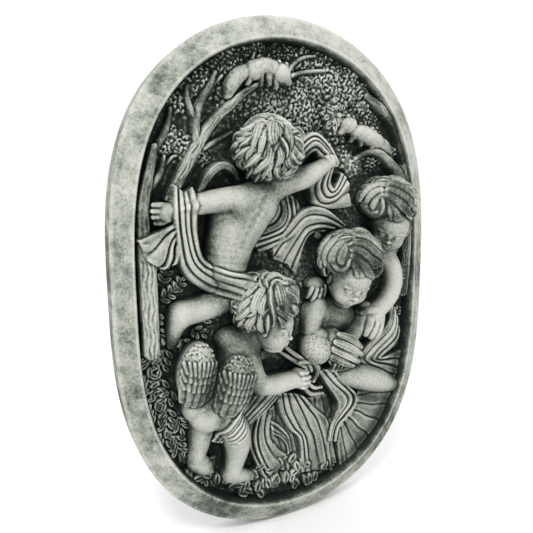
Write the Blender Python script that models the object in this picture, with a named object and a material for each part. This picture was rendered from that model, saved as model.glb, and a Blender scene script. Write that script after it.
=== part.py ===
"""An oval garden wall plaque, cast in one piece of concrete.

A raised rim runs round a sunk field. The field carries a high relief of four
putti at play among drapery, trees, foliage and small animals. The back is flat.
All lengths are metres. +Z is up, the back lies on Y = 0 and the relief faces -Y.
"""
import math

import bmesh
import bpy
from mathutils import Vector

# Overall size of the casting
HEIGHT = 0.530
WIDTH = 0.364
RELIEF_REACH = 0.0745

# The slab and its rim
EDGE_THICKNESS = 0.0235
RIM_THICKNESS = 0.0330
FIELD_THICKNESS = 0.0160
RIM_SIDE_WIDTH = 0.0200
RIM_END_WIDTH = 0.0230
ARRIS_ROUNDING = 0.0020
INNER_WALL_DRAFT = 0.0020
OUTLINE_POINTS = 96
SIDE_POWER = 1.974
END_POWER = 3.036

# How finely the relief is carved
CARVING_GRAIN = 0.0030
CARVING_KEPT_SHARE = 0.075
GROUND_SINK = 0.0060
LIMB_SIDES = 10
STEPS_BETWEEN_POINTS = 4
BALL_RINGS = 5
BALL_CROWN_SHARE = 0.05
BALL_SEGMENTS = 14

# The relief is laid out in shares of the plaque: 100 across the half height
HALF_HEIGHT_SHARES = 100.0
HALF_WIDTH_SHARES = 68.7
FIELD_LEVEL = 6.0
TOP_LEVEL = 28.0
FOOT_LEVEL = 4.5

GOLDEN_ANGLE = math.pi * (3.0 - math.sqrt(5.0))

STONE_COLOUR = (0.56, 0.58, 0.53, 1.0)
STONE_ROUGHNESS = 0.85


def signed_power(value, power):
    return math.copysign(abs(value) ** power, value)


def outline_ring(side_inset, end_inset, level):
    """Points of the oval, drawn in from its edge, at one height above the back."""
    half_width = WIDTH / 2 - side_inset
    half_height = HEIGHT / 2 - end_inset
    ring = []
    for step in range(OUTLINE_POINTS):
        angle = 2 * math.pi * step / OUTLINE_POINTS
        x = half_width * signed_power(math.cos(angle), 2 / SIDE_POWER)
        z = half_height * signed_power(math.sin(angle), 2 / END_POWER)
        ring.append(Vector((x, -level, z)))
    return ring


def slab_rings():
    """The slab's rings from the back, over the rim and down to under the field."""
    slope = ARRIS_ROUNDING * (RIM_THICKNESS - EDGE_THICKNESS) / RIM_SIDE_WIDTH
    inner_side = RIM_SIDE_WIDTH + ARRIS_ROUNDING / 2
    inner_end = RIM_END_WIDTH + ARRIS_ROUNDING / 2
    under_field = FIELD_THICKNESS - GROUND_SINK
    return [
        outline_ring(0, 0, 0),
        outline_ring(0, 0, EDGE_THICKNESS - ARRIS_ROUNDING),
        outline_ring(ARRIS_ROUNDING, ARRIS_ROUNDING, EDGE_THICKNESS + slope),
        outline_ring(RIM_SIDE_WIDTH - ARRIS_ROUNDING, RIM_END_WIDTH - ARRIS_ROUNDING, RIM_THICKNESS),
        outline_ring(inner_side, inner_end, RIM_THICKNESS - ARRIS_ROUNDING),
        outline_ring(inner_side + INNER_WALL_DRAFT, inner_end + INNER_WALL_DRAFT, under_field),
    ]


def build_slab():
    mesh = bpy.data.meshes.new("plaque")
    shell = bmesh.new()
    loops = []
    for ring in slab_rings():
        loops.append([shell.verts.new(point) for point in ring])
    for lower, upper in zip(loops, loops[1:]):
        for index in range(OUTLINE_POINTS):
            after = (index + 1) % OUTLINE_POINTS
            shell.faces.new((lower[index], lower[after], upper[after], upper[index]))
    shell.faces.new(loops[0])
    shell.faces.new(loops[-1])
    bmesh.ops.recalc_face_normals(shell, faces=shell.faces)
    shell.to_mesh(mesh)
    shell.free()
    slab = bpy.data.objects.new("plaque", mesh)
    bpy.context.collection.objects.link(slab)
    return slab


def place(x, z, level):
    """A point of the relief, from shares of the plaque to metres."""
    rise = (level - FIELD_LEVEL) / (TOP_LEVEL - FIELD_LEVEL)
    return Vector((
        x * WIDTH / 2 / HALF_WIDTH_SHARES,
        -(FIELD_THICKNESS + rise * (RELIEF_REACH - FIELD_THICKNESS)),
        z * HEIGHT / 2 / HALF_HEIGHT_SHARES,
    ))


def add_skin(carving, rings):
    """Close a run of equal rings of points into a solid."""
    loops = [[carving.verts.new(place(*point)) for point in ring] for ring in rings]
    count = len(loops[0])
    for lower, upper in zip(loops, loops[1:]):
        for index in range(count):
            after = (index + 1) % count
            carving.faces.new((lower[index], lower[after], upper[after], upper[index]))
    carving.faces.new(list(reversed(loops[0])))
    carving.faces.new(loops[-1])


def add_ball(carving, x, z, level, across, along=None, deep=None, turn=0.0):
    """The outer half of an ellipsoid, which runs straight down into the field."""
    along = along or across
    deep = deep or across
    cosine = math.cos(math.radians(turn))
    sine = math.sin(math.radians(turn))
    rings = []
    for row in range(BALL_RINGS + 2):
        latitude = math.pi / 2 * max(1 - row / BALL_RINGS, 0)
        reach = max(math.cos(latitude), BALL_CROWN_SHARE)
        height = level + deep * math.sin(latitude)
        if row > BALL_RINGS:
            height = FOOT_LEVEL
        ring = []
        for column in range(BALL_SEGMENTS):
            angle = 2 * math.pi * column / BALL_SEGMENTS
            u = across * reach * math.cos(angle)
            v = along * reach * math.sin(angle)
            ring.append((x + u * cosine - v * sine, z + u * sine + v * cosine, height))
        rings.append(ring)
    add_skin(carving, rings)


def smooth_run(points):
    """Points along a smooth curve through the given ones, radius and all."""
    run = []
    last = len(points) - 1
    for index in range(last):
        before = points[max(index - 1, 0)]
        start = points[index]
        end = points[index + 1]
        after = points[min(index + 2, last)]
        for step in range(STEPS_BETWEEN_POINTS):
            t = step / STEPS_BETWEEN_POINTS
            run.append(tuple(
                0.5 * (2 * q + (r - p) * t + (2 * p - 5 * q + 4 * r - s) * t * t
                       + (3 * q - p - 3 * r + s) * t ** 3)
                for p, q, r, s in zip(before, start, end, after)
            ))
    run.append(points[last])
    return run


def plan_normals(run):
    """The sideways direction in the plane of the plaque at each point of a run."""
    normals = []
    for index in range(len(run)):
        before = run[max(index - 1, 0)]
        after = run[min(index + 1, len(run) - 1)]
        dx = after[0] - before[0]
        dz = after[1] - before[1]
        length = math.hypot(dx, dz) or 1.0
        normals.append((-dz / length, dx / length))
    return normals


def add_ridge(carving, run):
    """A round-topped ridge along (x, z, level, radius) points, whose sides run down into the field."""
    rings = []
    for (x, z, level, radius), (nx, nz) in zip(run, plan_normals(run)):
        ring = []
        for side in range(LIMB_SIDES):
            angle = math.pi * side / (LIMB_SIDES - 1)
            offset = radius * math.cos(angle)
            ring.append((x + nx * offset, z + nz * offset, level + radius * math.sin(angle)))
        ring.append((x - nx * radius, z - nz * radius, FOOT_LEVEL))
        ring.append((x + nx * radius, z + nz * radius, FOOT_LEVEL))
        rings.append(ring)
    add_skin(carving, rings)


def add_limb(carving, points):
    """A rounded limb along (x, z, level, radius) points, with round ends."""
    add_ridge(carving, smooth_run(points))
    for x, z, level, radius in (points[0], points[-1]):
        add_ball(carving, x, z, level, radius)


def add_cloth(carving, folds, sag=2.0, ridge=0.6):
    """Cloth that runs over neighbouring folds and sinks between them.

    Each fold is a short run of (x, z, level) points, all runs of equal length.
    """
    runs = [smooth_run(fold) for fold in folds]
    rings = []
    for index in range(len(runs[0])):
        row = [run[index] for run in runs]
        top = []
        for first, second in zip(row, row[1:]):
            for share, dip in ((0.0, -ridge), (0.22, 0.0), (0.5, sag), (0.78, 0.0)):
                top.append(tuple(
                    a + (b - a) * share - (dip if axis == 2 else 0.0)
                    for axis, (a, b) in enumerate(zip(first, second))
                ))
        last = row[-1]
        top.append((last[0], last[1], last[2] + ridge))
        ring = top + [(x, z, FOOT_LEVEL) for x, z, level in reversed(top)]
        rings.append(ring)
    add_skin(carving, rings)


def add_strand(carving, points, radius):
    """A lock of hair along (x, z, level) points, thin where it starts and a little thinner at its tip."""
    run = smooth_run(points)
    swollen = []
    for index, (x, z, level) in enumerate(run):
        share = index / (len(run) - 1)
        swell = LOCK_END_SHARE + (1 - LOCK_END_SHARE) * math.sin(math.pi * (LOCK_START + LOCK_SPAN * share))
        swollen.append((x, z, level, radius * swell))
    add_ridge(carving, swollen)


# How a lock swells: its share at the ends, and where on a half wave it starts and how far it runs
LOCK_END_SHARE = 0.5
LOCK_START = 0.2
LOCK_SPAN = 0.65

# How far below the middle of the head a lock may reach, as a share of the head's depth
LOWEST_LOCK_SHARE = 0.3


def add_hair(carving, centre, size, crown, rows=3, locks_in_row=9, curl=0.5, width=2.1):
    """Rows of locks that leave the crown and curl over the ball of the head."""
    x, z, level = centre
    axis = Vector(crown).normalized()
    side = axis.cross(Vector((0, 1, 0.2))).normalized()
    other = axis.cross(side)
    middle = Vector((x, z, level))
    for row in range(rows):
        start = 0.25 + 0.48 * row
        for lock in range(locks_in_row):
            turn = 2 * math.pi * (lock + 0.5 * (row % 2)) / locks_in_row
            points = []
            for step in range(4):
                fall = start + 0.24 * step
                swing = turn + curl * (step / 3) ** 2
                way = axis * math.cos(fall) + (side * math.cos(swing) + other * math.sin(swing)) * math.sin(fall)
                stretched = Vector((way.x * size[0], way.y * size[1], way.z * size[2]))
                points.append(tuple(middle + stretched * (0.96 + 0.05 * math.sin(math.pi * step / 3))))
            if min(point[2] for point in points) > level - size[2] * LOWEST_LOCK_SHARE:
                add_strand(carving, points, width)


# Rises and hollows of a calm child's face on common proportions:
# sideways angle, upward angle, spread sideways, spread upwards, share of the radius
FACE_FORMS = (
    (0.00, -0.10, 0.11, 0.15, 0.15),
    (0.00, 0.10, 0.08, 0.16, 0.05),
    (0.00, -0.17, 0.17, 0.06, 0.05),
    (0.38, 0.06, 0.18, 0.11, -0.10),
    (0.38, 0.04, 0.12, 0.07, 0.05),
    (0.48, -0.30, 0.24, 0.20, 0.05),
    (0.34, 0.25, 0.28, 0.08, 0.03),
    (0.00, -0.39, 0.17, 0.05, 0.05),
    (0.00, -0.46, 0.20, 0.025, -0.03),
    (0.00, -0.53, 0.13, 0.05, 0.05),
    (0.00, -0.78, 0.20, 0.14, 0.07),
)
FACE_ROWS = 22
FACE_COLUMNS = 26
FACE_CORE_SHARE = 0.98
FACE_CORE_DEPTH_SHARE = 0.6


def face_radius(sideways, upward):
    rise = 1.0
    for around, up, wide, tall, amount in FACE_FORMS:
        for mirror in ((1, -1) if around else (1,)):
            off = ((sideways - mirror * around) / wide) ** 2 + ((upward - up) / tall) ** 2
            rise += amount * math.exp(-off)
    return rise


def add_face(carving, centre, radius, look, up):
    """A head with a plain child's face that looks along one direction, on a core that stands on the field."""
    forward = Vector(look).normalized()
    right = Vector(up).cross(forward).normalized()
    top = forward.cross(right).normalized()
    middle = Vector(centre)
    rings = []
    for row in range(FACE_ROWS + 1):
        upward = math.pi / 2 - math.pi * row / FACE_ROWS
        ring = []
        for column in range(FACE_COLUMNS):
            sideways = 2 * math.pi * column / FACE_COLUMNS - math.pi
            reach = radius * face_radius(sideways, upward)
            flat = max(math.cos(upward), 0.03)
            way = (forward * math.cos(sideways) * flat + right * math.sin(sideways) * flat * 0.88
                   + top * math.sin(upward) * 1.02)
            ring.append(tuple(middle + way * reach))
        rings.append(ring)
    add_skin(carving, rings)
    add_ball(carving, *centre, radius * FACE_CORE_SHARE, deep=radius * FACE_CORE_DEPTH_SHARE)


def add_leaf(carving, x, z, level, heading, length):
    """An almond leaf with a raised midrib, tilted up at its tip."""
    cosine = math.cos(math.radians(heading))
    sine = math.sin(math.radians(heading))
    rings = []
    for share, width in ((0.0, 0.08), (0.25, 0.30), (0.55, 0.34), (0.82, 0.2), (1.0, 0.05)):
        along = length * share
        half = length * width
        rise = level + 0.9 * share
        ring = []
        for offset, lift in ((half, 0.0), (half * 0.4, 0.3), (0.0, 0.7), (-half * 0.4, 0.3), (-half, 0.0)):
            ring.append((x + along * cosine - offset * sine, z + along * sine + offset * cosine, rise + lift))
        foot = [(end[0], end[1], FOOT_LEVEL) for end in (ring[-1], ring[0])]
        rings.append(ring + foot)
    add_skin(carving, rings)


def add_sprig(carving, x, z, heading, pairs, length, level=7.5):
    """Leaves in pairs along a stem, with one at its tip."""
    gap = length * 0.75
    for pair in range(pairs):
        px = x + gap * pair * math.cos(math.radians(heading))
        pz = z + gap * pair * math.sin(math.radians(heading))
        add_leaf(carving, px, pz, level, heading + 55, length)
        add_leaf(carving, px, pz, level, heading - 55, length)
    tip = gap * (pairs - 0.5)
    add_leaf(carving, x + tip * math.cos(math.radians(heading)),
             z + tip * math.sin(math.radians(heading)), level, heading, length)


def add_tuft(carving, x, z, radius, level=8.0):
    """A clump of foliage: small knobs spread evenly over a low dome."""
    count = int(4 + radius * 2.2)
    add_ball(carving, x, z, level - 1.0, radius * 0.85, deep=1.2)
    for knob in range(count):
        share = math.sqrt((knob + 0.5) / count)
        angle = knob * GOLDEN_ANGLE
        reach = radius * share
        add_ball(carving, x + reach * math.cos(angle), z + reach * math.sin(angle),
                 level - share, 1.1 + 0.25 * math.sin(knob * 2.3), deep=1.3)


def add_wing(carving, x, z, level, across, along, turn):
    """A small folded wing: short scales above, three rows of long feathers below."""
    add_ball(carving, x, z, level - 2.0, across, along, 3.6, turn)
    cosine = math.cos(math.radians(turn))
    sine = math.sin(math.radians(turn))
    rows = 6
    for row in range(rows):
        v = along * (0.72 - 1.55 * row / (rows - 1))
        width = across * math.sqrt(max(1 - (v / along) ** 2, 0.2))
        feathers = 3 + row % 2
        for feather in range(feathers):
            u = width * (2 * (feather + 0.5) / feathers - 1)
            add_ball(carving, x + u * cosine - v * sine, z + u * sine + v * cosine,
                     level + 0.9 - 0.5 * abs(u / across), width / feathers * 0.95, along * 0.17, 1.1, turn)


def carve_dancing_putto(carving):
    """Upper left: a putto seen from behind, both arms held out."""
    add_ball(carving, -8, 42, 12, 6)
    add_limb(carving, [(-11, 38, 10, 7), (-18, 28.5, 9, 9), (-25, 19, 9, 9.3), (-27, 10, 9, 7.5)])
    add_limb(carving, [(-19.5, 34, 13, 4.5), (-31, 33, 13.5, 4), (-40, 32, 13.5, 3.5), (-46, 30.5, 13, 3)])
    add_ball(carving, -49.5, 29.5, 12.5, 3.4, 3.6, 2.4)
    for finger in range(4):
        z = 32.4 - 2 * finger
        add_limb(carving, [(-50.5, z, 12.5, 0.9), (-53.5, z + 0.1, 12, 0.7)])
    add_limb(carving, [(-5, 40.5, 12.5, 5.5), (4.5, 41, 13.5, 4.4), (11, 44.5, 14.5, 3), (14.5, 47, 15, 2.3)])
    add_limb(carving, [(-27, -5, 8, 5), (-38.5, -7, 9, 4.8), (-45.5, -7.5, 9.5, 4.4)])
    add_limb(carving, [(-45.5, -7.5, 9.5, 4.2), (-47, -13, 9, 3.2), (-48, -18, 8.5, 1.8)])
    add_ball(carving, -11, 51.5, 14.5, 11.8, 10.2, 10.5)
    add_hair(carving, (-11, 51.5, 14.5), (12.4, 10.8, 11.2), (0.15, 0.5, 0.85), rows=4, curl=0.9)
    add_limb(carving, [(-37, 36, 9, 1), (-32.5, 43, 9, 1.5), (-27, 46, 9, 1.5), (-23, 43, 9, 1)])


def carve_winged_putto(carving):
    """Lower left: a winged putto seen from behind, the face turned to the right."""
    add_limb(carving, [(-17.5, -20.5, 10, 6.5), (-24, -27, 9, 8), (-31, -37, 9, 8.5), (-36, -44, 10, 8)])
    add_face(carving, (-12.5, -14.5, 14.5), 9.2, (0.86, -0.22, 0.42), (0.1, 1, 0.15))
    add_ball(carving, -14.5, -6, 14.5, 12, 10.6, 10.5)
    add_hair(carving, (-14.5, -5.5, 14.5), (12.8, 11.4, 11.4), (-0.2, 0.45, 0.85), rows=4, curl=0.8)
    add_wing(carving, -41.5, -27, 13, 7.4, 10.8, -10)
    add_wing(carving, -27.5, -35, 14, 7.8, 11.8, -14)
    add_limb(carving, [(-19.5, -29, 13.5, 4), (-17.5, -36, 14, 3.9), (-13.5, -39, 14.5, 3.4)])
    add_limb(carving, [(-13.5, -39, 14.5, 3.4), (-4, -38.5, 14.5, 3.1), (1, -38.5, 14.5, 3.1)])
    add_ball(carving, 2.5, -38.5, 14.5, 3.7, 4, 3.4)
    add_limb(carving, [(-17.5, -27, 10, 2.4), (-8, -27.5, 10, 1)])
    add_ball(carving, -37.5, -46.5, 12, 7.6, 7, 6, 30)
    add_ball(carving, -41.5, -43, 11.5, 5, 5.4, 5)
    add_limb(carving, [(-39, -53.5, 9, 4.2), (-39.5, -60, 9, 3.8), (-41.5, -66, 9, 2.8)])
    add_limb(carving, [(-42, -66, 9.5, 2.8), (-38.5, -68, 9.5, 3), (-35.5, -69.5, 9.5, 2)])
    add_limb(carving, [(-28, -50.5, 11, 6), (-25, -57, 11.5, 5.6), (-25, -65, 11, 4.4), (-26.5, -71.5, 10.5, 3.4)])
    add_limb(carving, [(-27.5, -74, 10.5, 3), (-22.5, -75.5, 10, 2.7), (-16.5, -78, 9.5, 1.4)])


def carve_kneeling_putto(carving):
    """Centre right: a putto bent over a small bird held in both hands."""
    add_ball(carving, 22, -16, 7, 12.5, 8, 6)
    add_face(carving, (24.5, -0.5, 15), 10.4, (-0.12, -0.42, 0.9), (0.1, 1, 0.3))
    add_ball(carving, 25.5, 7.5, 13.5, 13.2, 10.2, 10)
    add_hair(carving, (25.5, 7.5, 14), (13.8, 11.2, 10.8), (-0.15, 0.55, 0.75), rows=3, curl=0.35)
    add_ball(carving, 14.5, 5, 12, 1.8, 2.8, 2)
    add_ball(carving, 12.5, -2, 9, 4, 3.6, 2.4)
    for finger in range(4):
        add_limb(carving, [(8.5 + 2 * finger, -3, 10, 0.95), (7.8 + 2 * finger, -7.2, 9.8, 0.8)])
    add_ball(carving, 10.5, -27.5, 11, 6, 7, 5.5, 35)
    add_limb(carving, [(36.5, -16, 9, 4), (33.5, -23, 10, 4), (28, -28.5, 12, 4)])
    for finger in range(4):
        z = -25.5 - 2.6 * finger
        add_limb(carving, [(28 - 0.4 * finger, z - 3, 13, 1.5), (17 + 1.2 * finger, z, 14, 1.3)])
    add_limb(carving, [(25.5, -42, 11, 4.4), (37, -44.5, 11, 5), (49, -49, 10, 3.8)])


def carve_leaning_putto(carving):
    """Right: a putto that looks down over the other's shoulder."""
    add_face(carving, (46.5, 19.5, 13), 9.6, (-0.55, -0.42, 0.72), (0.05, 1, 0.3))
    add_ball(carving, 45.5, 30, 12.5, 13, 9.6, 9.6, -12)
    add_hair(carving, (45.5, 30, 13), (13.6, 10.4, 10.2), (-0.2, 0.5, 0.8), rows=3, curl=0.4)
    add_limb(carving, [(48, 8, 11, 3.4), (51, 2, 11.5, 3.2), (50.5, -6, 12, 3.2), (46, -12.5, 12.5, 3.2)])
    add_ball(carving, 40, -18, 12.5, 4.6, 5, 4)
    add_limb(carving, [(38.5, -14.5, 13, 1.5), (32.5, -15, 13, 1)])
    for finger in range(3):
        x = 36 + 3 * finger
        add_limb(carving, [(x, -19, 13.5, 1.5), (x - 1.2, -24.5, 13, 1.1)])


def carve_drapery(carving):
    """Every run of cloth, from the upper left to the lower right."""
    # Band that hangs from the left wrist and sweeps round under the back
    add_cloth(carving, [
        [(-46.5, 36.5, 16), (-46, 22, 15), (-43.5, 10, 13.5), (-36, 2.5, 13), (-25.5, -1, 12)],
        [(-44, 36.5, 15.5), (-43.5, 22, 14), (-41, 11, 13.5), (-34, 4.5, 13), (-25, 1.5, 12)],
        [(-41.5, 36, 15), (-40.5, 22, 14), (-38, 12.5, 14), (-31, 7.8, 14), (-19.5, 5, 13)],
    ])
    add_cloth(carving, [
        [(-46.5, 24.5, 13.5), (-52, 22, 12), (-58.5, 19.5, 10)],
        [(-46.5, 23, 13.5), (-51, 18, 12), (-56, 14.5, 10)],
        [(-46, 22, 13.5), (-48.5, 16.5, 12), (-50.5, 12, 10)],
        [(-45.5, 21, 13.5), (-46, 16.5, 12), (-47, 13.5, 10)],
    ])
    # Cloth gathered over the raised right hand, with its hanging swirl
    add_cloth(carving, [
        [(-2, 45, 13), (0, 51, 14), (9, 57.5, 14), (14.5, 53, 15.5), (18.5, 46, 16)],
        [(1.5, 47, 13), (3.5, 51, 14), (9, 54.5, 14), (13, 51.5, 15), (16.5, 46.5, 16)],
        [(4, 46, 12), (6, 49, 13), (9.5, 51.5, 13), (12, 50, 14), (15, 47, 15)],
    ])
    add_cloth(carving, [
        [(16.5, 46, 15.5), (15.5, 39, 14.5), (17.5, 36, 14.5), (19.5, 38, 14.5), (22, 43, 14.5)],
        [(15.5, 46, 15.5), (13, 38.5, 14.5), (16, 34.5, 14), (20.5, 36, 14), (24, 41.5, 14)],
        [(14.5, 46, 15.5), (11, 38.5, 13.5), (14, 32.5, 13), (20, 33, 13), (26, 38.5, 13)],
        [(13.5, 45.5, 15), (9.5, 38, 12), (12, 31, 12), (19.5, 30, 12), (27.5, 30.5, 12)],
    ])
    # Swag under the right arm
    add_cloth(carving, [
        [(-6.5, 34, 11), (-5, 29.5, 11), (-8, 25.5, 11.5), (-14, 22, 11)],
        [(-3.5, 34, 11), (-2, 28.5, 11), (-6, 23.5, 11.5), (-14.5, 19, 11)],
        [(0, 34, 10.5), (1, 26.5, 11), (-3.5, 21, 11.5), (-15, 16.5, 11)],
        [(3, 33, 10), (3.5, 25.5, 11), (-0.5, 19.5, 11.5), (-13.5, 14, 11)],
    ])
    # Cloth that flies up behind the kneeling putto's head
    add_cloth(carving, [
        [(25, 22, 12), (16, 27.5, 13), (8, 29, 13), (1.5, 25, 12.5), (-7.5, 13.5, 10.5)],
        [(23.5, 21, 11), (15, 24, 11.5), (8, 24.7, 12), (2.5, 20.5, 12), (-7, 10, 10.5)],
        [(15, 20.5, 11), (11.5, 21.5, 11.5), (7.5, 20.5, 11.5), (4.5, 17, 11.5), (-1.5, 8, 10.5)],
        [(14, 19.5, 10.5), (12, 20, 10.5), (9, 18.5, 10.5), (6.5, 14, 10), (3, 3.5, 9.5)],
    ])
    # Sash over the winged putto's thigh
    add_cloth(carving, [
        [(-22, -44.5, 14), (-27.5, -48, 15), (-31.5, -52.5, 14.5), (-35, -56.5, 13.5)],
        [(-12.5, -44.5, 13), (-20, -46.5, 14), (-27, -50.5, 15), (-32, -56.5, 13.5)],
        [(-7, -43, 13.5), (-14, -47, 13.5), (-21, -50.5, 14), (-27.5, -57.5, 13)],
        [(-6.5, -43.5, 13.5), (-10, -49.5, 12.5), (-18.5, -52, 13), (-21, -58, 12.5)],
    ], sag=1.3)
    # Folds that fall from the winged putto's fist
    add_cloth(carving, [
        [(-15, -51.5, 11), (-18, -59, 10.5), (-18, -65.5, 10.5), (-14.5, -73.5, 10), (-10.5, -81, 9)],
        [(-12.5, -51, 11), (-14.5, -59, 11), (-14.5, -65, 11), (-12, -73, 10.5), (-7.5, -80, 9)],
        [(-9, -50, 11), (-11, -58, 11), (-10.5, -64, 11), (-6, -70, 10.5), (-2, -73.5, 9.5)],
    ])
    add_cloth(carving, [
        [(-6.5, -44, 13), (-5, -52, 12), (-0.5, -60.5, 11.5), (4.5, -67, 11), (6.5, -83, 9)],
        [(-3.5, -44.5, 13), (-1, -52, 12), (4, -60.5, 11.5), (7.5, -68, 11), (9.5, -83, 8.5)],
        [(-0.5, -45, 13), (4.5, -53, 12), (10, -60.5, 11.5), (13.5, -67, 11), (17, -85, 8.5)],
        [(4, -48, 12), (10, -55, 11.5), (16, -62, 11.5), (18, -73.5, 10.5), (21, -86, 8.5)],
    ])
    add_limb(carving, [(3, -32.5, 12.5, 1), (9, -33, 13, 1), (11, -38, 12.5, 1), (10, -42, 12, 1)])
    add_limb(carving, [(5, -44, 12.5, 1), (8.5, -47.5, 12, 1), (14.5, -48, 11, 1)])
    # Long ribbon below the bird that turns back and opens out
    add_cloth(carving, [
        [(13, -39.5, 12), (17, -45, 12), (23, -50.5, 12), (25, -55, 11.5)],
        [(15.5, -38.5, 12.5), (20, -44.5, 12.5), (25.5, -49.5, 12.5), (27, -56, 12)],
        [(18, -37.5, 13), (23, -44, 13), (29.5, -49.5, 13), (29.5, -57, 12.5)],
    ])
    add_cloth(carving, [
        [(29.5, -55, 13), (21, -63.5, 12), (21, -69, 11.5), (24, -79, 10), (26.5, -86, 8.5)],
        [(30.5, -58, 12), (24.5, -65, 11.5), (26, -72, 10.5), (29, -79, 9.5), (31, -84, 8.5)],
        [(31.5, -59, 11.5), (27.5, -64.5, 12), (30.5, -71.5, 10.5), (33.5, -77, 9.5), (35.5, -81, 8.5)],
        [(34, -60, 11), (31.5, -64.5, 11.5), (36, -70.5, 10.5), (39, -75, 9.5), (41, -77, 8.5)],
        [(37, -59, 11), (39.5, -64, 11.5), (43, -67, 10.5), (45.5, -70, 9.5), (46.5, -71, 8.5)],
        [(37, -55, 11), (43, -58.5, 11.5), (48, -61.5, 10.5), (51, -63.5, 9.5), (52, -64, 8.5)],
        [(33, -52, 11), (43, -53, 11), (50, -54, 10.5), (54, -55, 9.5), (55, -55, 8.5)],
    ], sag=1.4)
    # Ribbon that turns back at the right edge
    add_cloth(carving, [
        [(50, -15, 12), (48, -23, 12.5), (37.5, -31.5, 12), (35, -38.5, 12), (45, -44.5, 11), (55, -48.5, 9.5)],
        [(52, -15.5, 11.5), (51, -25, 12), (40, -33, 12), (38, -38.5, 11), (47.5, -43, 10.5), (56, -46.5, 9)],
        [(55, -20, 11), (53, -28.5, 11), (43, -35.5, 11.5), (43, -40, 11), (50.5, -40.5, 10.5), (57, -41.5, 9)],
        [(56, -27, 10), (54, -33, 10), (46.5, -37, 10.5), (46.5, -38.8, 10.5), (52, -38, 10), (57.5, -37, 9)],
    ])


def carve_trees(carving):
    """The trunk at each side, the branches over the top and the clumps of leaves."""
    add_limb(carving, [(-56.5, -19, 7.5, 3), (-56.5, 0, 7.5, 3.1), (-56.5, 14, 7.5, 3), (-56.8, 24, 7, 2)])
    add_limb(carving, [(-56.8, 24, 7, 2), (-56, 36, 7, 1.7), (-53.5, 46, 7, 1.4), (-48.5, 56, 7, 1), (-45, 64, 7, 1)])
    add_limb(carving, [(-54, 38, 7, 1.1), (-49.5, 43, 7, 1), (-48, 49.5, 7, 0.8)])
    add_limb(carving, [(-47.5, 34.5, 7.5, 2), (-42, 44, 7.5, 2), (-37.5, 51.5, 7.5, 2)])
    add_limb(carving, [(-37.5, 51.5, 7.5, 2), (-31, 60.5, 8, 1.6), (-24, 67, 8, 1.5), (-13, 75, 8, 1)])
    add_limb(carving, [(-36.5, 53, 7.5, 1.6), (-37, 60, 7.5, 1.4), (-34.5, 68, 7.5, 1.3), (-29, 78, 7.5, 1)])
    add_limb(carving, [(-36.5, 62, 7, 1), (-39, 67, 7, 1), (-39.5, 72, 7, 0.9)])
    add_limb(carving, [(-34, 52, 7, 1), (-23.5, 57.5, 7, 0.8)])
    add_limb(carving, [(2, 79.5, 8, 1), (8, 82, 8, 0.9), (15.5, 82.5, 7.5, 0.8)])
    add_limb(carving, [(37.5, 73, 8, 1.5), (44, 69, 8, 2), (49, 64, 8, 2), (52, 57, 8, 2)])
    add_limb(carving, [(33.5, 49.5, 8, 1), (41, 52, 8, 1.5), (49, 47, 8.5, 1.8), (54, 41, 8.5, 2.3)])
    add_limb(carving, [(56.5, 40, 8, 2.4), (57.5, 20, 8, 2.5), (57.5, 3.5, 8, 2.5), (57, -10.5, 7.5, 2.3)])
    for x, z, radius in (
        (-22.5, 83, 4.4), (-33.5, 77, 3.8), (-42.5, 68, 3.2), (-43.5, 53, 4.6), (-34.5, 48.5, 2.8),
        (-11.5, 88, 3), (-16, 64, 4), (6.5, 73, 4.6), (10.5, 64, 4.2), (20, 80, 7), (31, 79, 5.5),
        (22, 67, 5.6), (33, 68, 3.8), (31, 48, 4.6), (45, 62, 3.6), (8.5, 86, 4.4), (47, 56, 3),
    ):
        add_tuft(carving, x, z, radius)


def carve_leaves(carving):
    """Sprigs of leaves at the feet and along the lower edge."""
    for x, z, heading in ((-55, -22, 250), (-52, -30, 200), (-53, -38, 300), (-49, -48, 260), (-50, 4, 70),
                          (-44, 1, 20), (-38, -9, 10), (-36, -77, 100), (54, -12, 260)):
        add_sprig(carving, x, z, heading, 2, 3.6)
    step = 5.2
    for leaf in range(9):
        x = -30 + step * leaf
        z = -82.5 - 4.2 * math.sin(math.pi * leaf / 8)
        add_sprig(carving, x, z, 95 - 25 * math.sin(leaf * 2.1), 1, 4.2, 7.8)


def carve_animals(carving):
    """A squirrel on the long branch and a smaller animal at the right."""
    add_limb(carving, [(-23.5, 71, 9.5, 1.5), (-20, 76, 10, 2.4), (-14.5, 79, 10, 2)])
    add_limb(carving, [(-14, 78, 10.5, 2.2), (-10.5, 80, 11, 3), (-5.5, 80, 11, 3), (-1, 79, 10.5, 2.4)])
    add_ball(carving, 1, 77.5, 10.5, 2.2, 2.8, 2.2)
    for x in (-11, -6):
        add_ball(carving, x, 76, 10, 1.2, 1.4, 1.5)
    add_ball(carving, 26.5, 61.5, 10.5, 3.4)
    add_limb(carving, [(30, 59.5, 10.5, 3.3), (36, 57.5, 10.5, 3.2), (41.5, 56.5, 10, 2.8), (48, 53.5, 9.5, 1.5)])


def add_ground(carving):
    """The ground that the relief grows from, with its edge inside the rim."""
    share = 0.5
    rings = []
    for level in (FIELD_THICKNESS - 2 * GROUND_SINK, FIELD_THICKNESS):
        rings.append(outline_ring(RIM_SIDE_WIDTH * share, RIM_END_WIDTH * share, level))
    loops = [[carving.verts.new(point) for point in ring] for ring in rings]
    for index in range(OUTLINE_POINTS):
        after = (index + 1) % OUTLINE_POINTS
        carving.faces.new((loops[0][index], loops[0][after], loops[1][after], loops[1][index]))
    carving.faces.new(loops[0])
    carving.faces.new(loops[1])


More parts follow.
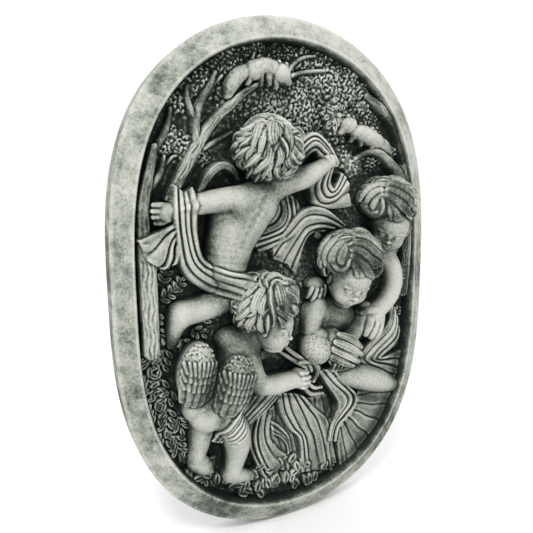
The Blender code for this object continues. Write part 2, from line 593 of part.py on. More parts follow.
def build_relief():
    """The whole relief as one carved body, thinned to few faces."""
    mesh = bpy.data.meshes.new("relief_body")
    carving = bmesh.new()
    add_ground(carving)
    carve_trees(carving)
    carve_leaves(carving)
    carve_animals(carving)
    carve_drapery(carving)
    carve_dancing_putto(carving)
    carve_winged_putto(carving)
    carve_kneeling_putto(carving)
    carve_leaning_putto(carving)
    bmesh.ops.recalc_face_normals(carving, faces=carving.faces)
    carving.to_mesh(mesh)
    carving.free()
    relief = bpy.data.objects.new("relief_body", mesh)
    bpy.context.collection.objects.link(relief)
    relief.hide_render = True
    relief.display_type = "WIRE"
    remesh = relief.modifiers.new("carve", "REMESH")
    remesh.mode = "VOXEL"
    remesh.voxel_size = CARVING_GRAIN
    thin = relief.modifiers.new("thin", "DECIMATE")
    thin.ratio = CARVING_KEPT_SHARE
    return relief


def stone_material():
    stone = bpy.data.materials.new("cast_stone")
    stone.use_nodes = True
    shader = stone.node_tree.nodes["Principled BSDF"]
    shader.inputs["Base Color"].default_value = STONE_COLOUR
    shader.inputs["Roughness"].default_value = STONE_ROUGHNESS
    shader.inputs["Metallic"].default_value = 0.0
    return stone


def clear_scene():
    for thing in list(bpy.data.objects):
        bpy.data.objects.remove(thing, do_unlink=True)


def main():
    clear_scene()
    plaque = build_slab()
    relief = build_relief()
    join = plaque.modifiers.new("relief", "BOOLEAN")
    join.operation = "UNION"
    join.solver = "EXACT"
    join.object = relief
    plaque.data.materials.append(stone_material())


main()
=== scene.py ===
import math

import bmesh
import bpy
import numpy as np
from mathutils import Matrix, Vector


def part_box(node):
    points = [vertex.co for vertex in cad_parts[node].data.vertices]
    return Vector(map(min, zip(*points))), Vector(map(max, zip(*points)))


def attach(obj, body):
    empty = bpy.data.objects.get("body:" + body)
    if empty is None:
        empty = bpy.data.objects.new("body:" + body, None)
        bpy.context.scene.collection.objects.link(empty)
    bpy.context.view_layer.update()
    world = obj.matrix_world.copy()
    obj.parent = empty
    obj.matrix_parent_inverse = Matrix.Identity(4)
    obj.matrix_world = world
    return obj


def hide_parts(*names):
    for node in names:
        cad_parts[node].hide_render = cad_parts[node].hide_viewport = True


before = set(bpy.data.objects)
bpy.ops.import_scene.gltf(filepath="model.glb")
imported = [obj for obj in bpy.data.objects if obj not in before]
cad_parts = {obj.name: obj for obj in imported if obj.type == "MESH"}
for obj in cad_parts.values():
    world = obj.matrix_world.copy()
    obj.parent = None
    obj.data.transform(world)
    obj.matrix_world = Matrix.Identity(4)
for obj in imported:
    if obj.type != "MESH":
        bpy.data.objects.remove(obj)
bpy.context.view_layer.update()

# The plaque is laid out in shares: 100 to its half height, x to the right, z up,
# and level outwards from the back. A place is written (x, z, level).
BACK_LOW, BACK_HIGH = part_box("plaque")
HALF_WIDTH = (BACK_HIGH.x - BACK_LOW.x) / 2
HALF_HEIGHT = (BACK_HIGH.z - BACK_LOW.z) / 2
SHARE = HALF_HEIGHT / 100.0

# Rim, in shares
EDGE_LEVEL = 8.9
RIM_LEVEL = 12.55
FIELD_LEVEL = 6.0
RIM_SIDE = 7.6
RIM_END = 8.65
SIDE_POWER = 1.974
END_POWER = 3.036
OUTER_ROUND = 0.75
INNER_ROUND = 0.6
RIM_POINTS = 320

# Block of points on which the relief is modelled, how far its bands run under the rim,
# and how far below the rim's crest the parts that reach over the rim begin
GRAIN = 0.3
LOW = np.array([-64.0, -94.0, 3.0])
HIGH = np.array([64.0, 94.0, 29.5])
FAR = 9.0
KEPT_TRIANGLES = 185000
UNDER_RIM = 1.12
BELOW_CREST = 0.8
BANDS = (("relief_low", -94.0, -38.0), ("relief_middle", -38.0, 14.0), ("relief_top", 14.0, 94.0))

# Viewing point of the photograph, in shares, and the plane on which seen places are written
EYE = np.array([-97.8, 38.5, 185.9])
SEEN_LEVEL = 16.0
LENS = 34.87

# Light, then the floor in metres
KEY_PLACE = (-0.7, -1.0, 1.5)
KEY_SIZE = 0.5
KEY_POWER = 15.0
WORLD_STRENGTH = 1.05
FLOOR_RADIUS = 30.0
FLOOR_GAP = 0.001

# How much the trunks and branches on the left stand over their written levels
BRANCH_RISE = 1.3

# Dark wash, patina in the hollows together with painted shade: its value on a free flat place,
# what it gains from each measure of the surface, the colour at each value, and how far the measures reach
WASH_AND_SHADE_START = -1.22
WASH_AND_SHADE_WEIGHTS = (("fine", 2.9), ("middle", -2.4), ("wide", 2.12), ("worked", 4.3))
WASH_AND_SHADE_COLOURS = ((0.0, (200, 201, 193)), (0.2, (182, 184, 175)), (0.36, (146, 150, 140)), (0.52, (84, 92, 82)),
                (0.68, (38, 47, 40)), (1.0, (16, 22, 18)))
WASH_AND_SHADE_REACHES = (0.6, 1.8, 4.2)

# Noise over the stone, each as its scale, detail and roughness, then how much it shows
BROAD_PATCHES = (16.0, 3.0, 0.6)
SMALL_PATCHES = (90.0, 6.0, 0.7)
SPECKS = (420.0, 3.0, 0.7)
LUMPS = (140.0, 4.0, 0.6)
PORES = (900.0, 4.0, 0.7)
RIM_SMUDGES = 1.5
RELIEF_SMUDGES = 0.5
SPECK_WEIGHT = 0.45
BUMP_STRENGTH = 0.35
BUMP_DISTANCE = 0.0008

GOLDEN_ANGLE = math.pi * (3.0 - math.sqrt(5.0))
rng = np.random.default_rng(11)


def soft_min(first, second, soft):
    """The lower of two distances, with their meeting line filled to a soft width."""
    if soft <= 0:
        return np.minimum(first, second)
    close = np.maximum(soft - np.abs(first - second), 0.0) / soft
    return np.minimum(first, second) - close * close * soft * 0.25


class Clay:
    """Distances to a modelled surface on a block of points, negative inside."""

    def __init__(self, low, high):
        low = np.maximum(np.asarray(low, float), LOW)
        high = np.minimum(np.asarray(high, float), HIGH)
        self.start = np.floor((low - LOW) / GRAIN).astype(int)
        shape = np.ceil((high - LOW) / GRAIN).astype(int) + 1 - self.start
        self.field = np.full(shape, FAR, np.float32)

    def window(self, low, high):
        """The part of the block between two corners, with its coordinates; it may be empty."""
        first = np.floor((np.asarray(low, float) - LOW) / GRAIN).astype(int) - self.start
        last = np.ceil((np.asarray(high, float) - LOW) / GRAIN).astype(int) + 1 - self.start
        first = np.maximum(first, 0)
        last = np.maximum(np.minimum(last, self.field.shape), first)
        where = tuple(slice(a, b) for a, b in zip(first, last))
        lines = [
            (LOW[axis] + GRAIN * (np.arange(first[axis], last[axis]) + self.start[axis])).astype(np.float32)
            for axis in range(3)
        ]
        return where, lines[0][:, None, None], lines[1][None, :, None], lines[2][None, None, :]

    def add(self, where, distance, soft, cut=False):
        """Join a form to the clay, or take it away."""
        sign = -1 if cut else 1
        self.field[where] = sign * soft_min(sign * self.field[where], distance.astype(np.float32), soft)

    def merge(self, other, soft):
        offset = other.start - self.start
        where = tuple(slice(o, o + n) for o, n in zip(offset, other.field.shape))
        self.field[where] = soft_min(self.field[where], other.field, soft)

    def top_levels(self, where):
        """The level of the outermost surface in each column of a window."""
        part = self.field[where[0], where[1], :]
        inside = part < 0
        count = part.shape[2]
        top = count - 1 - np.argmax(inside[:, :, ::-1], axis=2)
        top = np.where(inside.any(axis=2), top, 0)
        above = np.minimum(top + 1, count - 1)
        here = np.take_along_axis(part, top[:, :, None], 2)[:, :, 0]
        over = np.take_along_axis(part, above[:, :, None], 2)[:, :, 0]
        share = np.clip(here / np.minimum(here - over, -1e-6), 0, 1)
        return (LOW[2] + GRAIN * (self.start[2] + top + share)).astype(np.float32)


def turned(x, z, angle):
    """Lengths along two axes that are turned by an angle."""
    cosine, sine = math.cos(angle), math.sin(angle)
    return x * cosine + z * sine, z * cosine - x * sine


def spiral(count):
    """Evenly spread places on a disc, as shares of its radius and angles."""
    for index in range(count):
        yield math.sqrt((index + 0.5) / count), index * GOLDEN_ANGLE


def smooth_path(points, steps):
    """A smooth curve through rows of numbers, as an array."""
    points = np.asarray(points, float)
    padded = np.vstack([points[0], points, points[-1]])
    rows = []
    for index in range(len(points) - 1):
        p, q, r, s = padded[index:index + 4]
        for t in np.arange(steps) / steps:
            rows.append(0.5 * (2 * q + (r - p) * t + (2 * p - 5 * q + 4 * r - s) * t * t
                               + (3 * q - p - 3 * r + s) * t ** 3))
    rows.append(points[-1])
    return np.array(rows)


def ball(clay, x, z, level, across, along=None, deep=None, turn=0.0, soft=0.8, under=0.3, cut=False):
    """An ellipsoid that stands nearly straight up from what is below it."""
    along = along or across
    deep = deep or across
    pad = soft + 1.0
    reach = max(across, along) + pad
    lowest = level - deep / max(under, 0.2) - pad
    where, gx, gz, gl = clay.window((x - reach, z - reach, lowest), (x + reach, z + reach, level + deep + pad))
    u, v = turned(gx - x, gz - z, math.radians(turn))
    w = gl - level
    w = np.where(w < 0, w * under, w)
    size = np.sqrt((u / across) ** 2 + (v / along) ** 2 + (w / deep) ** 2)
    slope = np.sqrt((u / across ** 2) ** 2 + (v / along ** 2) ** 2 + (w / deep ** 2) ** 2) + 1e-5
    clay.add(where, size * (size - 1) / slope, soft, cut)


def limb(clay, points, soft=0.8, under=0.25, steps=6):
    """A round limb along (x, z, level, radius) points, nearly upright below its middle."""
    path = smooth_path(points, steps)
    radius = path[:, 3].max()
    pad = radius + soft + 1.0
    low = path[:, :3].min(axis=0) - pad
    low[2] = LOW[2]
    high = path[:, :3].max(axis=0) + pad
    where, gx, gz, gl = clay.window(low, high)
    best = np.full((gx.shape[0], gz.shape[1], gl.shape[2]), FAR, np.float32)
    for (x0, z0, l0, r0), (x1, z1, l1, r1) in zip(path, path[1:]):
        dx, dz = x1 - x0, z1 - z0
        length = dx * dx + dz * dz + 1e-9
        t = np.clip(((gx - x0) * dx + (gz - z0) * dz) / length, 0, 1)
        off = (gx - x0 - t * dx) ** 2 + (gz - z0 - t * dz) ** 2
        w = gl - (l0 + (l1 - l0) * t)
        w = np.where(w < 0, w * under, w)
        best = np.minimum(best, np.sqrt(off + w * w) - (r0 + (r1 - r0) * t))
    clay.add(where, best, soft)


def strip(clay, path, widths, thicks, lifts, soft=0.25, grooves=0, depth=0.0):
    """A flat lock or feather along a path, its broad side turned to the lift directions."""
    path = np.asarray(path, float)
    for index in range(len(path) - 1):
        start, end = path[index], path[index + 1]
        run = end - start
        length = float(run @ run) + 1e-9
        heading = run / math.sqrt(length)
        lift = lifts[index] + lifts[index + 1]
        lift = lift - heading * float(lift @ heading)
        lift = lift / (np.linalg.norm(lift) + 1e-9)
        side = np.cross(heading, lift)
        reach = max(widths[index], widths[index + 1], thicks[index], thicks[index + 1]) + soft + 0.6
        where, gx, gz, gl = clay.window(np.minimum(start, end) - reach, np.maximum(start, end) + reach)
        px, pz, pl = gx - start[0], gz - start[1], gl - start[2]
        t = np.clip((px * run[0] + pz * run[1] + pl * run[2]) / length, 0, 1)
        px, pz, pl = px - t * run[0], pz - t * run[1], pl - t * run[2]
        width = widths[index] + (widths[index + 1] - widths[index]) * t
        thick = thicks[index] + (thicks[index + 1] - thicks[index]) * t
        u = px * side[0] + pz * side[1] + pl * side[2]
        v = px * lift[0] + pz * lift[1] + pl * lift[2]
        e = px * heading[0] + pz * heading[1] + pl * heading[2]
        size = np.sqrt((u / width) ** 2 + (v / thick) ** 2 + (e / thick) ** 2)
        distance = (size - 1) * np.minimum(width, thick)
        if grooves:
            distance = distance + depth * (0.5 - 0.5 * np.cos(2 * math.pi * grooves * u / (2 * width)))
        clay.add(where, distance, soft)


def oval(clay, centre, axes, radii, soft, cut=False):
    """An ellipsoid turned freely; axes are its three directions."""
    reach = max(radii) + soft + 0.8
    centre = np.asarray(centre, float)
    where, gx, gz, gl = clay.window(centre - reach, centre + reach)
    px, pz, pl = gx - centre[0], gz - centre[1], gl - centre[2]
    size = slope = 0.0
    for axis, radius in zip(axes, radii):
        part = (px * axis[0] + pz * axis[1] + pl * axis[2]) / radius
        size = size + part ** 2
        slope = slope + (part / radius) ** 2
    size = np.sqrt(size)
    clay.add(where, size * (size - 1) / (np.sqrt(slope) + 1e-5), soft, cut)


def limb_cut(clay, points, soft=0.8):
    """A soft groove along (x, z, level, radius) points."""
    path = smooth_path(points, 4)
    for x, z, level, radius in path:
        oval(clay, (x, z, level), np.eye(3), (radius, radius, radius), soft, cut=True)


# Low relief is drawn on a map of levels, one for each column of the block

MAP_GRAIN = GRAIN / 2
MAP_SHAPE = tuple(2 * n + 1 for n in np.ceil((HIGH - LOW) / GRAIN).astype(int)[:2])


def map_lines(first, last):
    x = (LOW[0] + MAP_GRAIN * np.arange(first[0], last[0]))[:, None]
    z = (LOW[1] + MAP_GRAIN * np.arange(first[1], last[1]))[None, :]
    return x, z


def map_window(low, high):
    """The part of the map between two corners, with its coordinates; it may be empty."""
    first = np.maximum(np.floor((np.asarray(low) - LOW[:2]) / MAP_GRAIN).astype(int), 0)
    last = np.minimum(np.ceil((np.asarray(high) - LOW[:2]) / MAP_GRAIN).astype(int) + 1, MAP_SHAPE)
    last = np.maximum(last, first)
    return (slice(first[0], last[0]), slice(first[1], last[1])), *map_lines(first, last)


def mound(levels, x, z, level, across, along, deep, turn=0.0, dent=0.0):
    """A low dome on the map, with a dent along its middle where one is asked for."""
    reach = max(across, along) + MAP_GRAIN
    where, gx, gz = map_window((x - reach, z - reach), (x + reach, z + reach))
    u, v = turned(gx - x, gz - z, turn)
    u, v = u / across, v / along
    inside = np.maximum(1 - u * u - v * v, 0)
    shape = level + deep * np.sqrt(inside) - dent * np.exp(-(v / 0.22) ** 2)
    levels[where] = np.maximum(levels[where], np.where(inside > 0, shape, 0))


def stroke(levels, points, crown=1.0, grooves=0, depth=0.0, steps=4, edge_power=2.0, rise=0.0):
    """A ridge on the map along (x, z, level, half width) points."""
    path = smooth_path(points, steps)
    for (x0, z0, l0, r0), (x1, z1, l1, r1) in zip(path, path[1:]):
        reach = max(r0, r1) + MAP_GRAIN
        where, gx, gz = map_window((min(x0, x1) - reach, min(z0, z1) - reach),
                                   (max(x0, x1) + reach, max(z0, z1) + reach))
        dx, dz = x1 - x0, z1 - z0
        length = dx * dx + dz * dz + 1e-9
        t = np.clip(((gx - x0) * dx + (gz - z0) * dz) / length, 0, 1)
        ox, oz = gx - x0 - t * dx, gz - z0 - t * dz
        radius = r0 + (r1 - r0) * t
        off = np.sqrt(ox * ox + oz * oz) / radius
        inside = np.maximum(1 - off ** edge_power, 0)
        shape = rise + l0 + (l1 - l0) * t + crown * radius * inside ** (1 / edge_power)
        if grooves:
            side = (ox * -dz + oz * dx) / (math.sqrt(length) * radius)
            side = side + 0.12 * np.sin(0.55 * gz + 0.4 * gx) + 0.06 * np.sin(1.3 * gz - 0.8 * gx + 2 * side)
            uneven = 0.75 + 0.35 * np.sin(0.8 * gz + 2.2 * side) * np.sin(0.37 * gz - 0.3 * gx)
            shape = shape - depth * uneven * (0.5 - 0.5 * np.cos(math.pi * grooves * side))
        levels[where] = np.maximum(levels[where], np.where(inside > 0, shape, 0))


def leaf(levels, x, z, level, heading, length, width=0.25):
    """A pointed leaf with a sunk midrib."""
    where, gx, gz = map_window((x - length, z - length), (x + length, z + length))
    along, aside = turned(gx - x, gz - z, heading)
    along, aside = along / length, aside / length
    half = width * np.sqrt(np.clip(along * (1 - along) * 4, 0, 1)) ** 1.5 + 1e-4
    off = np.abs(aside) / half
    midrib = 0.75 * np.exp(-(aside * length / 0.3) ** 2)
    shape = level + 0.9 * np.sqrt(np.maximum(1 - off ** 3, 0)) + 0.5 * along - midrib
    levels[where] = np.maximum(levels[where], np.where((off < 1) & (along > 0) & (along < 1), shape, 0))


def sprig(levels, x, z, heading, pairs, length, level=7.6):
    """Leaves in pairs along a stem, with one at its tip."""
    gap = length * 0.62
    for pair in range(pairs):
        px = x + gap * pair * math.cos(heading)
        pz = z + gap * pair * math.sin(heading)
        for side in (1, -1):
            leaf(levels, px + 0.4 * side, pz, level - 0.2 * pair, heading + side * 0.85, length)
    tip = gap * (pairs - 0.4)
    end = (x + tip * math.cos(heading), z + tip * math.sin(heading))
    stroke(levels, [(x, z, level - 0.6, 0.35), (*end, level - 0.6, 0.3)])
    leaf(levels, *end, level, heading, length)


def speckle(levels, x, z, radius, level, size=0.75, rise=1.0, seed=0):
    """Close-set small leaves of a clump, like stippling."""
    draw = np.random.default_rng(seed)
    mound(levels, x, z, level - 1.5, radius, radius, 1.2)
    size = size * 0.8
    for share, angle in spiral(int(1.3 * radius * radius / (size * size))):
        angle = angle + draw.uniform(-0.3, 0.3)
        px = x + radius * share * math.cos(angle) + draw.uniform(-0.35, 0.35)
        pz = z + radius * share * math.sin(angle) + draw.uniform(-0.35, 0.35)
        own = size * draw.uniform(0.6, 1.15)
        stand = level + 0.6 - 1.8 * share ** 2 - draw.uniform(0, 0.6)
        mound(levels, px, pz, stand, own * 1.2, own * 0.85, rise * 0.75, draw.uniform(0, math.pi))


def lobed_cluster(levels, x, z, radius, level, leaves, seed):
    """A rosette of small broad leaves round a middle."""
    draw = np.random.default_rng(seed)
    mound(levels, x, z, level - 1.4, radius * 0.9, radius * 0.9, 1.2)
    for share, angle in spiral(leaves):
        angle = angle + draw.uniform(-0.4, 0.4)
        reach = radius * share * draw.uniform(0.6, 0.8)
        leaf(levels, x + reach * math.cos(angle), z + reach * math.sin(angle),
             level - 0.8 * share + draw.uniform(-0.4, 0.3), angle + draw.uniform(-1.1, 1.1),
             radius * draw.uniform(0.34, 0.48), 0.42)


def blurred(values, reach):
    """A map or block smoothed by two box means along each axis."""
    for axis in range(values.ndim):
        for _ in range(2):
            ends = [(0, 0)] * values.ndim
            ends[axis] = (reach + 1, reach)
            total = np.cumsum(np.pad(values, ends, mode="edge"), axis=axis, dtype=np.float64)
            count = values.shape[axis]
            ahead = np.take(total, np.arange(2 * reach + 1, 2 * reach + 1 + count), axis=axis)
            behind = np.take(total, np.arange(0, count), axis=axis)
            values = ((ahead - behind) / (2 * reach + 1)).astype(np.float32)
    return values


def lay_map(clay, levels, soft=0.2):
    """Add a map of levels to the clay as a solid that stands on the field."""
    used = np.argwhere(levels > 0)
    if not len(used):
        return
    first = np.maximum(used.min(axis=0) // 2 - 1, 0)
    last = np.minimum(used.max(axis=0) // 2 + 3, clay.field.shape[:2])
    padded = np.pad(np.maximum(levels, FIELD_LEVEL - 1.5), 1, mode="edge")
    part = padded[2 * first[0]:2 * last[0] + 1, 2 * first[1]:2 * last[1] + 1]
    part = (part[0:-2:2] + 2 * part[1:-1:2] + part[2::2]) / 4
    filled = (part[:, 0:-2:2] + 2 * part[:, 1:-1:2] + part[:, 2::2]) / 4
    across, along = np.gradient(filled, GRAIN)
    steep = 1 / np.sqrt(1 + across ** 2 + along ** 2)
    count = clay.field.shape[2]
    gl = LOW[2] + GRAIN * np.arange(count)
    where = (slice(first[0], last[0]), slice(first[1], last[1]), slice(0, count))
    distance = (gl[None, None, :] - filled[:, :, None]) * np.maximum(steep, 0.3)[:, :, None]
    clay.add(where, distance, soft)


def cloth_sheet(keys, ridges, edge):
    """Points on the cloth between its key folds, each with its place across the ridges."""
    lines = [smooth_path(key, 90) for key in keys]
    phases = list(np.linspace(0, ridges - 1, len(keys)))
    for outer, inner, place in ((lines[0], lines[1], 0), (lines[-1], lines[-2], len(lines) + 1)):
        away = outer - inner
        away[:, 2] = 0
        away = away / (np.linalg.norm(away, axis=1)[:, None] + 1e-6)
        lines.insert(place, outer + away * edge)
        phases.insert(place, -0.5 if place == 0 else ridges - 0.5)
    sheet, phase = [], []
    for first, second, start, end in zip(lines, lines[1:], phases, phases[1:]):
        count = int(np.linalg.norm(second - first, axis=1).max() / (MAP_GRAIN * 0.7)) + 2
        share = np.linspace(0, 1, count)[:, None, None]
        sheet.append(first * (1 - share) + second * share)
        phase.append(np.repeat(np.linspace(start, end, count)[:, None], len(first), axis=1))
    return np.concatenate(sheet), np.concatenate(phase)


def fold_drop(phase, run, ridges, depth, swing):
    """How far the cloth lies below its ridges, which wander a little along their run."""
    across = np.clip(phase / max(ridges - 1, 1), 0, 1)
    inner = across * (1 - across) * 4
    phase = phase + inner * (0.3 * np.sin(3.1 * run + swing[0]) + 0.16 * np.sin(7.3 * run + swing[1]))
    near = np.clip(np.round(phase), 0, ridges - 1)
    off = np.clip(np.abs(phase - near) * 2, 0, 1)
    own = 1 + 0.35 * np.sin(near * 2.4 + swing[2] + 3.0 * run)
    sharp = 2.2 + 0.7 * np.sin(near * 1.9 + swing[3])
    drop = depth * own * (1 - np.maximum(1 - off ** sharp, 0) ** (1 / sharp))
    return drop + 0.16 * depth * (1 + np.sin(near * 3.7 + 2.2 * run + swing[1]))


def cloth(clay, keys, ridges, depth=1.3, edge=0.9, over=False, lift=0.7, seed=0):
    """Cloth that follows neighbouring folds, with rounded ridges and dark valleys.

    Each key fold is a run of (x, z, level) points and all runs are equally long.
    With over, the cloth lies on whatever is already modelled below it.
    """
    swing = np.random.default_rng(seed).uniform(0, 2 * math.pi, 4)
    sheet, phase = cloth_sheet(keys, ridges, edge)
    run = np.repeat(np.linspace(0, 1, sheet.shape[1])[None, :], len(sheet), axis=0)
    ix = np.clip(np.round((sheet[..., 0] - LOW[0]) / MAP_GRAIN).astype(int), 3, MAP_SHAPE[0] - 4)
    iz = np.clip(np.round((sheet[..., 1] - LOW[1]) / MAP_GRAIN).astype(int), 3, MAP_SHAPE[1] - 4)
    first = np.array([ix.min() - 3, iz.min() - 3])
    shape = (ix.max() - first[0] + 4, iz.max() - first[1] + 4)
    cell = ((ix - first[0]) * shape[1] + iz - first[1]).ravel()
    hits = np.bincount(cell, minlength=shape[0] * shape[1]).reshape(shape)
    there = (hits > 0).astype(np.float32)
    seen = np.maximum(blurred(there, 1), 0.02)

    def spread(values):
        total = np.bincount(cell, values.ravel(), minlength=shape[0] * shape[1]).reshape(shape)
        return blurred((total / np.maximum(hits, 1)).astype(np.float32), 1) / seen

    level, phase, run = spread(sheet[..., 2]), spread(phase), spread(run)
    if over:
        columns = tuple(slice(a // 2, (a + n) // 2 + 1) for a, n in zip(first, shape))
        below = blurred(clay.top_levels(columns), max(int(2.0 / GRAIN), 1))
        rows, cols = ((np.arange(n) + a) // 2 - a // 2 for a, n in zip(first, shape))
        level = np.maximum(level, below[rows][:, cols] + lift)
    levels = np.zeros(MAP_SHAPE, np.float32)
    low = level - fold_drop(phase, run, ridges, depth, swing)
    levels[first[0]:first[0] + shape[0], first[1]:first[1] + shape[1]] = np.where(seen > 0.5, low, 0)
    lay_map(clay, levels)


# Heads


class Head:
    """An egg for the hair and the directions of the face."""

    def __init__(self, centre, radii, look, up):
        self.centre = np.asarray(centre, float)
        self.radii = np.asarray(radii, float)
        self.look = np.asarray(look, float) / np.linalg.norm(look)
        up = np.asarray(up, float) - self.look * float(np.dot(up, self.look))
        self.up = up / np.linalg.norm(up)
        self.right = np.cross(self.up, self.look)

    def seen(self, x, z):
        """The point of the egg that shows at a place of the seen plane."""
        ray = np.array([x, z, SEEN_LEVEL]) - EYE
        start = (EYE - self.centre) / self.radii
        ray_scaled = ray / self.radii
        a = float(ray_scaled @ ray_scaled)
        b = float(start @ ray_scaled)
        c = float(start @ start) - 1
        inside = b * b - a * c
        t = (-b - math.sqrt(inside)) / a if inside > 0 else -b / a
        point = start + t * ray_scaled
        point = point / np.linalg.norm(point)
        return self.centre + point * self.radii

    def outward(self, point):
        way = (point - self.centre) / self.radii ** 2
        return way / np.linalg.norm(way)


def lock(clay, head, places, width, thick=1.5, raised=0.5, strands=1.7, depth=0.24):
    """One lock of hair through seen places, lying on the head's egg."""
    arms = smooth_path([head.seen(x, z) for x, z in places], 4) - head.centre
    path = np.array([head.centre + arm / np.linalg.norm(arm / head.radii) for arm in arms])
    lifts = np.array([head.outward(p) for p in path])
    share = np.linspace(0, 1, len(path))
    arch = np.sin(np.pi * np.clip(share * 1.05, 0, 1))
    path = path + lifts * (raised * (0.2 + arch))[:, None]
    widths = width * (0.2 + 0.74 * np.sin(np.pi * (0.2 + 0.72 * share)))
    thicks = thick * (0.55 + 0.5 * arch)
    strip(clay, path, widths, thicks, lifts, soft=0.04, grooves=max(2, round(width * strands)), depth=depth)


def under_locks(clay, head, crown, rows, per_row, width, seed, curl=0.8, start=0.2, gap=0.36, bare=0.6):
    """Rows of locks from the crown, which fill the head between the placed ones."""
    draw = np.random.default_rng(seed)
    crown = np.asarray(crown, float) / np.linalg.norm(crown)
    side = np.cross(crown, [0.1, 1.0, 0.3])
    side = side / np.linalg.norm(side)
    other = np.cross(crown, side)
    for row in reversed(range(rows)):
        for index in range(per_row):
            turn = 2 * math.pi * (index + 0.5 * (row % 2)) / per_row + draw.uniform(-0.12, 0.12)
            bend = curl * draw.uniform(0.5, 1.4) * (1 if draw.uniform() > 0.3 else -1)
            stand = draw.uniform(0.9, 0.985)
            path = []
            for step in range(8):
                share = step / 7
                fall = start + gap * row + 0.62 * share
                swing = turn + bend * share ** 2 - 0.35 * bend * share
                about = side * math.cos(swing) + other * math.sin(swing)
                way = crown * math.cos(fall) + about * math.sin(fall)
                path.append(head.centre + way * head.radii * (stand + 0.05 * math.sin(math.pi * share)))
            middle = (path[4] - head.centre) / head.radii
            if float(middle @ head.look) > bare or middle[2] < -0.5:
                continue
            path = np.array(path)
            share = np.linspace(0, 1, len(path))
            widths = width * (0.3 + 0.72 * np.sin(np.pi * (0.15 + 0.75 * share)))
            lifts = np.array([head.outward(p) for p in path])
            thicks = 1.15 * (0.6 + 0.4 * np.sin(np.pi * share))
            strip(clay, path, widths, thicks, lifts, soft=0.05, grooves=2, depth=0.25)


# A calm child's face on common proportions: kind, sideways, up, forward, three radii, soft width,
# all in shares of the head's radius. A form with a sideways place is made on both sides.
FACE_FORMS = (
    ("add", 0.00, 0.12, -0.12, 0.84, 0.90, 0.90, 0.10),
    ("add", 0.00, -0.28, 0.14, 0.68, 0.66, 0.70, 0.20),
    ("add", 0.00, 0.38, 0.28, 0.60, 0.48, 0.56, 0.20),
    ("add", 0.36, -0.34, 0.46, 0.30, 0.28, 0.28, 0.14),
    ("add", 0.00, -0.80, 0.46, 0.20, 0.16, 0.18, 0.12),
    ("add", 0.00, -0.86, 0.12, 0.42, 0.20, 0.36, 0.12),
    ("cut", 0.31, 0.03, 0.92, 0.20, 0.12, 0.16, 0.08),
    ("add", 0.30, 0.01, 0.66, 0.15, 0.12, 0.15, 0.02),
    ("add", 0.30, 0.07, 0.66, 0.18, 0.09, 0.165, 0.03),
    ("add", 0.30, -0.08, 0.64, 0.16, 0.06, 0.15, 0.04),
    ("add", 0.30, 0.19, 0.64, 0.24, 0.05, 0.14, 0.10),
    ("add", 0.00, 0.02, 0.76, 0.08, 0.20, 0.12, 0.10),
    ("add", 0.00, -0.20, 0.86, 0.11, 0.10, 0.13, 0.06),
    ("add", 0.10, -0.23, 0.80, 0.07, 0.06, 0.08, 0.04),
    ("cut", 0.05, -0.29, 0.88, 0.03, 0.02, 0.05, 0.03),
    ("add", 0.07, -0.43, 0.78, 0.12, 0.05, 0.08, 0.04),
    ("add", 0.00, -0.54, 0.76, 0.12, 0.05, 0.08, 0.04),
    ("cut", 0.00, -0.485, 0.88, 0.19, 0.018, 0.08, 0.02),
    ("cut", 0.00, -0.635, 0.80, 0.13, 0.04, 0.06, 0.06),
    ("add", 0.84, -0.02, -0.02, 0.07, 0.20, 0.13, 0.03),
)


def face(clay, head, middle, radius):
    """A head with a plain child's face of common proportions."""
    middle = np.asarray(middle, float)
    axes = (head.right, head.up, head.look)
    for kind, sideways, up, forward, wide, tall, deep, soft in FACE_FORMS:
        for mirror in ((1, -1) if sideways else (1,)):
            centre = middle + radius * (head.right * sideways * mirror + head.up * up + head.look * forward)
            oval(clay, centre, axes, (wide * radius, tall * radius, deep * radius), soft * radius,
                 kind == "cut")


def fingers(clay, starts, ends, radius, soft=0.25):
    for (x0, z0, l0), (x1, z1, l1) in zip(starts, ends):
        middle = ((x0 + x1) / 2, (z0 + z1) / 2, (l0 + l1) / 2 + 0.35, radius)
        limb(clay, [(x0, z0, l0, radius), middle, (x1, z1, l1, radius * 0.8)], soft=soft)


def stipple(clay, centre, radii, turn, size, lowest, close=1.15):
    """Small overlapping flakes over the part of a dome above its lowest share."""
    across, along, deep = radii
    cosine, sine = math.cos(math.radians(turn)), math.sin(math.radians(turn))
    swung = np.array([[cosine, -sine, 0], [sine, cosine, 0], [0, 0, 1]])
    for share, angle in spiral(int(close * across * along / size ** 2)):
        u = 0.97 * share * math.cos(angle) + rng.uniform(-0.03, 0.03)
        v = 0.97 * share * math.sin(angle) + rng.uniform(-0.03, 0.03)
        if v < lowest:
            continue
        rise = math.sqrt(max(1 - u * u - v * v, 0.04))
        outward = np.array([u / across, v / along, rise / deep])
        outward = outward / np.linalg.norm(outward)
        down = np.array([rng.uniform(-0.3, 0.3), -1.0, 0.0])
        down = down - outward * float(down @ outward)
        down = down / np.linalg.norm(down) + 0.3 * outward
        down = down / np.linalg.norm(down)
        outward = outward - down * float(outward @ down)
        outward = outward / np.linalg.norm(outward)
        axes = [swung @ axis for axis in (np.cross(down, outward), down, outward)]
        spot = np.asarray(centre) + swung @ np.array([across * u, along * v, deep * rise])
        grown = size * rng.uniform(0.9, 1.1)
        oval(clay, spot, axes, (grown * 0.9, grown * 1.15, grown * 0.42), 0.02)


